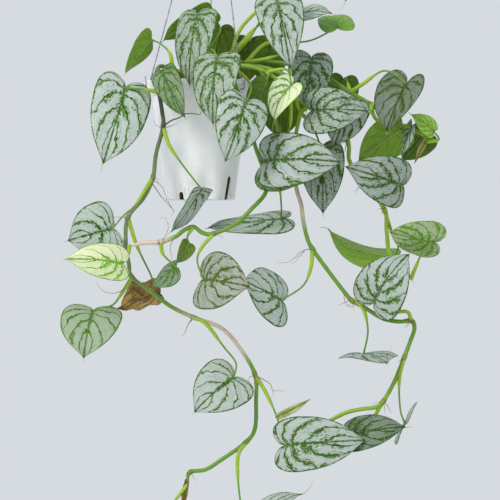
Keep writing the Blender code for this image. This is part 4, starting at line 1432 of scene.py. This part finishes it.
# %% The slits' cutters
def slit_cutters():
    """Upright slots with rounded tops, one for each flute, through the wall and the edge of the floor."""
    shape = bmesh.new()
    inner, outer, bottom = FOOT_RADIUS - 11, FOOT_RADIUS + 9, -POT_HEIGHT - 6
    for number in range(SLITS):
        bearing = slit_bearing(number)
        turn = Matrix.Rotation(bearing, 3, "Z")
        half = SLIT_WIDTH / 2
        top = SHORT_SLIT_TOP if number % LONG_SLIT_EVERY else LONG_SLIT_TOP
        arch = [(half * math.cos(a), top - half + half * math.sin(a))
                for a in (math.pi * k / 8 for k in range(9))]
        outline = [*arch, (-half, bottom), (half, bottom)]
        near, far = ([shape.verts.new(placed(turn @ Vector((r, t, z)))) for t, z in outline] for r in (inner, outer))
        shape.faces.new(near[::-1])
        shape.faces.new(far)
        for k in range(len(outline)):
            n = (k + 1) % len(outline)
            shape.faces.new((near[k], near[n], far[n], far[k]))
    bmesh.ops.recalc_face_normals(shape, faces=shape.faces)
    return keep_shape("slits", shape)


print("slit bearings:", [round(math.degrees(slit_bearing(k))) for k in range(SLITS)])

# %% [markdown] Painted shade in the slits
# White polypropylene is never quite even: it has a soft gloss, a faint flow pattern, slight rings from the mould, and
# a breath of water marks, most of them round the foot. The slits' cut edges get a painted shade in the mix's dark
# brown, so that the slits read as dark gaps, and a mask finds what lies deeper than the outside of the flutes.

# %% Soiled slits
SLIT_SHADE_WHOLE = 16  # mm above the foot, up to where the painted shade is whole
SLIT_SHADE_TOP = 30  # and where it has faded out


def slit_shade_share(tree, place, height):
    """How much painted shade the slits' cut edges get at a place: inside the flutes' outer face, and low on the pot.
    """
    level = vectors(tree, "MULTIPLY", vectors(tree, "SUBTRACT", place, tuple(placed((0, 0, 0)))), (1, 1, 0))
    radius = step(tree, "ShaderNodeVectorMath", {0: level}, operation="LENGTH").outputs["Value"]
    slope = (wall_radius(-FLUTE_TOP) - FOOT_RADIUS + FLUTE_DEPTH) / (POT_HEIGHT + FLUTE_TOP)
    foot = placed((0, 0, -POT_HEIGHT)).z
    outside = calc(tree, "MULTIPLY_ADD", calc(tree, "SUBTRACT", height, foot), slope, (FOOT_RADIUS - FLUTE_DEPTH) * MM)
    inward = smooth_step(tree, calc(tree, "SUBTRACT", radius, outside), -0.8 * MM, -0.3 * MM, 1.0, 0.0)
    low = smooth_step(tree, height, foot + SLIT_SHADE_WHOLE * MM, foot + SLIT_SHADE_TOP * MM, 1.0, 0.0)
    above_foot = smooth_step(tree, height, foot + 0.2 * MM, foot + 1 * MM)
    return calc(tree, "MULTIPLY", calc(tree, "MULTIPLY", inward, low), above_foot)


# the painted shade of the slits ends this far above the foot
print("the stain ends", SLIT_SHADE_TOP, "mm above the foot")

# %% [markdown]
# The plastic's colour is then laid in three steps: white, the water marks in streaks that run down the wall, and the
# painted shade of the slits. A sine of the height gives the mould's fine rings, and it goes into the bump with the
# mottling.

# %% White plastic
PLASTIC_WHITE = colour(246, 245, 248)
WATER_MARK = colour(176, 164, 140)
# a dark brown for the painted shade on the slits' cut edges
SLIT_SHADE_BROWN = colour(58, 44, 32)
STREAK_GRAIN = (260, 260, 30)  # much finer round the pot than down it
MARKS_WHOLE, MARKS_TOP = placed((0, 0, -118)).z, placed((0, 0, -96)).z
RING_TURNS = 2600.0  # how far the rings' wave turns in a metre of height, in radians
RING_HEIGHT = 0.25

white_plastic, tree, shader = new_material("white_plastic", Specular_IOR_Level=0.45)
place = object_place(tree)
brightness, height = use_mottle(tree, place, 60, 0.06)
upward = split_xyz(tree, place)[2]
streaks = noise_at(tree, vectors(tree, "MULTIPLY", place, STREAK_GRAIN), 1.0, 3)
low = smooth_step(tree, upward, MARKS_WHOLE, MARKS_TOP, 1.0, 0.12)
marks = calc(tree, "MULTIPLY", smooth_step(tree, streaks, 0.5, 0.72), calc(tree, "MULTIPLY", low, 0.5))
skin = mix_colour(tree, marks, PLASTIC_WHITE, WATER_MARK)
# painted shade: the slits' cut edges low on the pot are darkened to the mix's brown
skin = mix_colour(tree, slit_shade_share(tree, place, upward), skin, SLIT_SHADE_BROWN)
rings = calc(tree, "SINE", calc(tree, "MULTIPLY", upward, RING_TURNS))
relief = calc(tree, "ADD", calc(tree, "MULTIPLY", rings, RING_HEIGHT), height)
roughness = smooth_step(tree, streaks, 0.3, 0.7, 0.34, 0.48)
finish_skin(tree, shader, times(tree, skin, brightness), roughness, relief, 0.0002)
print("plastic:", white_plastic.name)

# %% [markdown]
# The profile runs from the axis over the inside of the floor, up the inside of the wall, over the rim, down the
# outside and back to the axis, so the turned shell is closed. A thick rim that turns down stiffens such a thin pot.

# %% Make the pot
FLOOR_THICKNESS = 2.4
inner_floor = POT_HEIGHT - FLOOR_THICKNESS
levels = (-FLUTE_TOP, 80, 86, 92, 98, 104, 110)
inside_wall = [(wall_radius(d) - WALL, -d) for d in (*reversed(levels), 60, 45, 30, 15, 3)]
outside_wall = [(wall_radius(d), -d) for d in (4, 15, 30, 45, 60, *levels, POT_HEIGHT - 4)]
lip_top, lip_end = (RIM_RADIUS, 0), (RIM_RADIUS, -RIM_DROP)
pot_profile = [
    (0, -inner_floor), (FOOT_RADIUS - 12, -inner_floor),
    *rounded((0, -inner_floor), (wall_radius(inner_floor) - WALL, -inner_floor), inside_wall[0], 2.0),
    *inside_wall, *rounded(inside_wall[-1], (WALL_TOP_RADIUS - WALL, 0), lip_top, 0.9),
    *rounded((WALL_TOP_RADIUS, 0), lip_top, lip_end, 1.6, 6), *rounded(lip_top, lip_end, (54, -RIM_DROP), 0.6),
    *rounded(lip_end, (RIM_RADIUS - WALL, -RIM_DROP), (RIM_RADIUS - WALL, 0), 0.6),
    *rounded((RIM_RADIUS - WALL, -RIM_DROP), (RIM_RADIUS - WALL, -2.2), (WALL_TOP_RADIUS, -2.2), 0.8),
    *rounded((RIM_RADIUS, -2.2), (wall_radius(2.2), -2.2), (wall_radius(9), -9), 0.8),
    *outside_wall, *rounded(outside_wall[-1], (FOOT_RADIUS, -POT_HEIGHT), (0, -POT_HEIGHT), 1.8),
    (FOOT_RADIUS - 12, -POT_HEIGHT), (0, -POT_HEIGHT),
]
pot = turned("nursery_pot", pot_profile, POT_TURNS, fluted)
cut_away(pot, slit_cutters())
hole_ends = [[ring_place(b, WIRE_HOLE_RING, z) for z in (3, -6)] for b in WIRE_BEARINGS.values()]
cut_away(pot, rods("wire_holes", hole_ends, WIRE_HOLE_RADIUS))
pot.data.materials.clear()
pot.data.materials.append(white_plastic)
pot.data.set_sharp_from_angle(angle=math.radians(40))
hand_over(pot, "pot")
print("pot faces:", len(pot.data.polygons))

# %% [markdown]
# ## Potting mix
#
# The mix is peat, bark and a little white perlite, heaped round the stems, with fine roots on top. The body is a
# turned solid whose top is pushed up and down by noise. A Geometry Nodes tree then scatters lumps over the top: each
# lump is a small rock shape with its own turn and size, so a few dozen faces make hundreds of different crumbs.

# %% Mix materials
def mix_material(name, dark, light, scale):
    material, tree, shader = new_material(name, Specular_IOR_Level=0.25)
    brightness, height = use_mottle(tree, object_place(tree), scale, 0.6)
    skin = mix_colour(tree, smooth_step(tree, height, 0.35, 0.68), dark, light)
    roughness = smooth_step(tree, height, 0.2, 0.8, 0.95, 0.8)
    finish_skin(tree, shader, times(tree, skin, brightness), roughness, height, 0.001)
    return material


peat = mix_material("peat", colour(52, 38, 28), colour(112, 84, 58), 260)
bark = mix_material("bark", colour(88, 60, 38), colour(152, 114, 76), 180)
perlite = mix_material("perlite", colour(196, 194, 186), colour(232, 230, 224), 300)
print("mix materials:", peat.name, bark.name, perlite.name)

# %% [markdown]
# The body fills the pot with a hair's gap, so it is turned from the pot's own measures and drawn in by the same
# flutes. Its top is a heap, roughened with fractal noise that fades out towards the wall.

# %% The body of the mix
SOIL_EDGE = -9  # the top's height at the wall
SOIL_HEAP = 12  # how far the middle stands above that
SOIL_RADIUS = 46
FIT_GAP = 0.35


def heaped(x, y, z):
    """The mix's surface: flutes at the foot, and an uneven top."""
    point = fluted(x, y, z)
    radius = math.hypot(x, y)
    if z > SOIL_EDGE - 1:
        rough = noise.fractal(Vector((x, y, 0)) * 0.09, 1.0, 2.0, 4) * 3.2
        point.z += rough * min(1, max(0, (47 - radius) / 14)) - 0.8 * (radius > 44)
    return point


soil_gap = WALL + 3 * FIT_GAP
soil_floor = inner_floor - FIT_GAP
top_radii = [46.5, 44, 41, 38, 35, 32, 29, 26, 23, 20, 17, 14, 11, 8, 5, 2.5, 0]
slopes = [0.5 + 0.5 * math.cos(math.pi * min(1, r / SOIL_RADIUS)) for r in top_radii]
heap = [(r, SOIL_EDGE + SOIL_HEAP * slope**0.8) for r, slope in zip(top_radii, slopes)]
side = [(wall_radius(d) - soil_gap, -d) for d in (11, 30, 50, *levels, soil_floor)]
soil_profile = [*reversed(heap), *side, (FOOT_RADIUS - 14, -soil_floor), (0, -soil_floor)]
soil = turned("potting_mix_body", soil_profile, 96, heaped)
soil.data.materials.append(peat)
hand_over(soil, "potting_mix")
print("mix faces:", len(soil.data.polygons))

# %% [markdown]
# Hundreds of lumps placed by hand would look arranged. This tree spreads points over the top no closer than a given
# spacing, and puts a dented ball on each, with a random turn and size from a fixed seed.

# %% The scattering tree
scatter, given, result = new_group(
    "scattered_lumps", "GeometryNodeTree",
    [("Geometry", "Geometry"), ("Spacing", "Float", 0.003), ("Smallest", "Float", 0.5), ("Largest", "Float", 1.5),
     ("Lump Radius", "Float", 0.0015), ("Flatness", "Float", 0.5), ("Seed", "Int", 1), ("Skin", "Material")],
    [("Geometry", "Geometry")],
)
spots = step(
    scatter, "GeometryNodeDistributePointsOnFaces",
    {"Mesh": given["Geometry"], "Distance Min": given["Spacing"], "Density Max": 400000.0, "Seed": given["Seed"]},
    distribute_method="POISSON",
)
ball = step(scatter, "GeometryNodeMeshIcoSphere", {"Radius": given["Lump Radius"], "Subdivisions": 2})
bumps = step(scatter, "ShaderNodeTexNoise", {"Scale": 700.0, "Detail": 1.0})
dents = scaled(scatter, vectors(scatter, "SUBTRACT", bumps.outputs[1], (0.5, 0.5, 0.5)), given["Lump Radius"])
stone = step(scatter, "GeometryNodeSetPosition", {"Geometry": ball.outputs[0], "Offset": dents})
any_turn = step(
    scatter, "FunctionNodeRandomValue", {0: (0.0, 0.0, 0.0), 1: (6.28, 6.28, 6.28), "Seed": given["Seed"]},
    data_type="FLOAT_VECTOR",
)
any_size = step(
    scatter, "FunctionNodeRandomValue", {2: given["Smallest"], 3: given["Largest"], "Seed": given["Seed"]},
    data_type="FLOAT",
).outputs[1]
flat_size = calc(scatter, "MULTIPLY", any_size, given["Flatness"])
lumps = step(
    scatter, "GeometryNodeInstanceOnPoints",
    {"Points": spots.outputs["Points"], "Instance": stone.outputs[0],
     "Scale": join_xyz(scatter, any_size, any_size, flat_size), "Rotation": any_turn.outputs[0]},
)
finish_tree(scatter, lumps.outputs[0], given["Skin"], result)

# %% [markdown]
# The same tree runs three times, with its own sizes for bark chips, peat crumbs and grains of perlite. It needs only
# the mix's upper surface, so a copy of that is cut out for it.

# %% Scatter the lumps
def mix_top(name, reach):
    """The part of the mix's top within a distance of its middle, to scatter on."""
    top = bmesh.new()
    top.from_mesh(soil.data)
    middle = placed((0, 0, 0))
    low = placed((0, 0, SOIL_EDGE - 3)).z
    centres = {face: face.calc_center_median() for face in top.faces}
    spare = [face for face, centre in centres.items()
             if centre.z < low or face.normal.z < 0.3 or (centre - middle).xy.length > reach * MM]
    bmesh.ops.delete(top, geom=spare, context="FACES")
    return keep_shape(name, top)


LUMPS = (
    ("bark_chips", bark, dict(Spacing=0.0036, Smallest=0.5, Largest=1.5, Flatness=0.45, Seed=3), 0.0022),
    ("peat_crumbs", peat, dict(Spacing=0.0022, Smallest=0.4, Largest=1.3, Flatness=0.9, Seed=5), 0.0012),
    ("perlite_grains", perlite, dict(Spacing=0.0105, Smallest=0.5, Largest=1.2, Flatness=0.85, Seed=9), 0.0012),
)
for name, skin, values, radius in LUMPS:
    piece = run_tree(mix_top(name, 45), scatter, {**values, "Lump Radius": radius, "Skin": skin}, smooth=False)
    hand_over(piece)
    print(name, "faces:", len(piece.data.polygons))

# %% [markdown]
# ## The mat on top
#
# Between the stems lies a mat of old roots and moss. Each strand starts in the mix, rises in a low arch and comes down
# again, and is pulled in where it would reach the pot's wall. Its colour is that of old roots or of moss.

# %% Lay the mat
MOSS = colour(92, 112, 44)
MAT_RADIUS = 46.5
MAT_STRANDS = 230


def lay_mat_strand(strands, dice):
    angle, reach = dice.uniform(0, 2 * math.pi), 42 * math.sqrt(dice.uniform())
    start = Vector((reach * math.cos(angle), reach * math.sin(angle), SOIL_EDGE + 10 * (1 - reach / SOIL_RADIUS)))
    turn = angle + dice.normal() * 1.2
    way = Vector((math.cos(turn), math.sin(turn), 0)) * dice.uniform(10, 26)
    height = dice.uniform(4, 20)
    route = [start + way * t + Vector((0, 0, height * math.sin(math.pi * t) - 6 * t)) for t in (0, .3, .6, 1)]
    at = positions(route, 2.0)
    line = through(route, at)
    line[1:] += np.array([noise.noise_vector(Vector(p) * 0.2) for p in line[1:]]) * 1.6
    reach = np.hypot(line[:, 0], line[:, 1])
    line[:, :2] *= np.minimum(1, MAT_RADIUS / np.maximum(reach, 1))[:, None]
    tint = (ROOT_LIGHT, ROOT_DARK, MOSS, MOSS)[dice.integers(4)]
    strands.add(line, dice.uniform(0.3, 0.65) * (1 - 0.6 * np.linspace(0, 1, len(line))), tint)


mat = Strands()
dice = np.random.default_rng(21)
for _ in range(MAT_STRANDS):
    lay_mat_strand(mat, dice)
mat_piece = mat.piece("root_mat", root_skin, sides=6)
hand_over(mat_piece)
print("mat faces:", len(mat_piece.data.polygons))

# %% [markdown]
# ## Hanger wires
#
# Each hanger is two thin steel strands twisted together. One Geometry Nodes tree takes the wire's path and carries a
# strand round it like a screw thread: the turn at each point is the length so far divided by the length of one twist.
# The second strand is the same, half a turn on.

# %% The twisting tree
PATH_STEP = 0.6 * MM

twist, given, result = new_group(
    "twisted_wire", "GeometryNodeTree",
    [("Geometry", "Geometry"), ("Strand Radius", "Float", 0.0004), ("Twist Length", "Float", 0.006),
     ("Skin", "Material"), ("Sides", "Int", 6)],
    [("Geometry", "Geometry")],
)
path = step(twist, "GeometryNodeMeshToCurve", {"Mesh": given["Geometry"]})
path = step(twist, "GeometryNodeResampleCurve", {"Curve": path.outputs[0], "Length": PATH_STEP}, mode="LENGTH")
run = step(twist, "GeometryNodeSplineParameter").outputs["Length"]
turns = calc(twist, "MULTIPLY", calc(twist, "DIVIDE", run, given["Twist Length"]), 2 * math.pi)
normal = step(twist, "GeometryNodeInputNormal").outputs[0]
tangent = step(twist, "GeometryNodeInputTangent").outputs[0]
across = vectors(twist, "CROSS_PRODUCT", normal, tangent)
profile = step(
    twist, "GeometryNodeCurvePrimitiveCircle", {"Resolution": given["Sides"], "Radius": given["Strand Radius"]}
)
both_strands = twist.nodes.new("GeometryNodeJoinGeometry")
for start in (0.0, math.pi):
    turn = calc(twist, "ADD", turns, start)
    out = calc(twist, "MULTIPLY", calc(twist, "COSINE", turn), given["Strand Radius"])
    over = calc(twist, "MULTIPLY", calc(twist, "SINE", turn), given["Strand Radius"])
    shift = vectors(twist, "ADD", scaled(twist, normal, out), scaled(twist, across, over))
    strand = step(twist, "GeometryNodeSetPosition", {"Geometry": path.outputs[0], "Offset": shift})
    tube = step(
        twist, "GeometryNodeCurveToMesh",
        {"Curve": strand.outputs[0], "Profile Curve": profile.outputs[0], "Fill Caps": True},
    )
    twist.links.new(tube.outputs[0], both_strands.inputs[0])
finish_tree(twist, both_strands.outputs[0], given["Skin"], result)

# %% [markdown]
# Galvanised steel is grey with a dull spangle and a few duller patches, so its roughness and its grey both follow
# noise.

# %% Galvanised steel
steel, tree, shader = new_material("galvanised_steel", Metallic=1.0)
brightness, height = use_mottle(tree, object_place(tree), 240, 0.4)
grey = mix_colour(tree, smooth_step(tree, height, 0.35, 0.65), colour(150, 153, 160), colour(196, 199, 206))
roughness = smooth_step(tree, height, 0.3, 0.7, 0.28, 0.5)
finish_skin(tree, shader, times(tree, grey, brightness), roughness, height, 0.0001)
print("steel:", steel.name)

# %% [markdown]
# Each wire runs straight from its seat in the cap to its hole in the rim. Below the rim it turns outwards and back up
# round the lip, which is how such a hanger is fixed without a knot.

# %% Make the wires
CAP_BOTTOM = -50  # below the hook's crown
CAP_SEAT_RING = 3.1
SEAT_DEPTH = 7
WIRE_RADIUS = 0.8
PLAIN = (1, 1, 1, 1)


def wire_route(bearing):
    """The wire's way: out of its seat in the cap, down through the rim, and up round the rim's lip."""
    lip = RIM_RADIUS + FIT_GAP + WIRE_RADIUS
    under = -RIM_DROP - FIT_GAP - WIRE_RADIUS
    seat = HOOK_CROWN + ring_place(bearing, CAP_SEAT_RING, CAP_BOTTOM)
    way = (ring_place(bearing, WIRE_HOLE_RING, 0) - seat).normalized()
    turn = [(WIRE_HOLE_RING, 1), (WIRE_HOLE_RING + 0.1, -6), (WIRE_HOLE_RING + 0.8, under + 1),
            (WIRE_HOLE_RING + 2.4, under), (lip - 1, under + 0.1), (lip, under + 1.4), (lip + 0.1, -3), (lip + 0.6, 4)]
    return [seat - way * (SEAT_DEPTH - 1), seat, *(ring_place(bearing, r, z) for r, z in turn)]


for name, bearing in WIRE_BEARINGS.items():
    wire = Strands()
    route = wire_route(bearing)
    straight = np.linspace(route[1], route[2], 30)[1:]
    turned_up = through(route[2:], np.linspace(0, len(route) - 3, 40)[1:])
    wire.add(np.vstack([route[:2], straight, turned_up]), WIRE_RADIUS, PLAIN)
    piece = wire.piece(name + "_twist", steel, sides=6, tree=twist)
    hand_over(piece, name)
    print(piece.name, "faces:", len(piece.data.polygons))

# %% [markdown]
# ## Cap and hook
#
# The three wires end in a small white cap. It is a turned piece like the pot, with a rounded top and grip rings, so
# its profile is all that is new.

# %% Make the cap
CAP_RADIUS = 5.5
CAP_TOP = -36
top, bottom = HOOK_CROWN.z + CAP_TOP, HOOK_CROWN.z + CAP_BOTTOM
grips = [(CAP_RADIUS - 0.55 * (k % 2), bottom + 3.4 + 1.1 * k) for k in range(7)]
cap_profile = [
    (0, bottom), *rounded((0, bottom), (CAP_RADIUS, bottom), (CAP_RADIUS, top), 0.7), *grips,
    *rounded((CAP_RADIUS, bottom), (CAP_RADIUS, top), (0, top), 1.8, 5), (2.4, top), (1.9, top - 0.6),
    (1.9, top - 3), (0, top - 3),
]
cap = turned("wire_cap", cap_profile, 64, lambda x, y, z: Vector((x + HOOK_CROWN.x, y, z)))
cap.data.materials.append(white_plastic)
cap.data.set_sharp_from_angle(angle=math.radians(50))
hand_over(cap, "hanger_cap")
print("cap faces:", len(cap.data.polygons))

# %% [markdown]
# The hook is a steel rod, bent over to hang on a rail. It is a swept line again, this time with one thickness all the
# way but for its end, which a circle's curve rounds off.

# %% Make the hook
HOOK_ROD = 1.5
HOOK_BEND = 8.0
bend = HOOK_BEND + HOOK_ROD
arc = [(math.cos(a) * bend, math.sin(a) * bend - HOOK_BEND) for a in map(math.radians, range(190, -31, -10))]
shank = [(0, CAP_TOP - SEAT_DEPTH + 0.5), (0, CAP_TOP + 8), (-2.5, CAP_TOP + 14), (-7.5, CAP_TOP + 21)]
route = [HOOK_CROWN + Vector((x, 0, z)) for x, z in shank + arc]
line = through(route, positions(route, 1.0))
from_end = run_lengths(line)[-1] - run_lengths(line)
blunt = np.sqrt(np.clip(1 - (1 - np.minimum(from_end / HOOK_ROD, 1)) ** 2, 0.04, 1))
hook_line = Strands()
hook_line.add(line, HOOK_ROD * blunt, PLAIN)
hook = hook_line.piece("ceiling_hook", steel, sides=20)
hand_over(hook, "hanger_hook")
print("hook faces:", len(hook.data.polygons))

# %% [markdown]
# ## The solid parts' size
#
# The dressed plant has to stay as large as its solid parts. The last line prints the solid parts' size.

# %% Finish
print("solid parts' size:", [round(v * 1000, 1) for v in cad_box[1] - cad_box[0]], "mm")
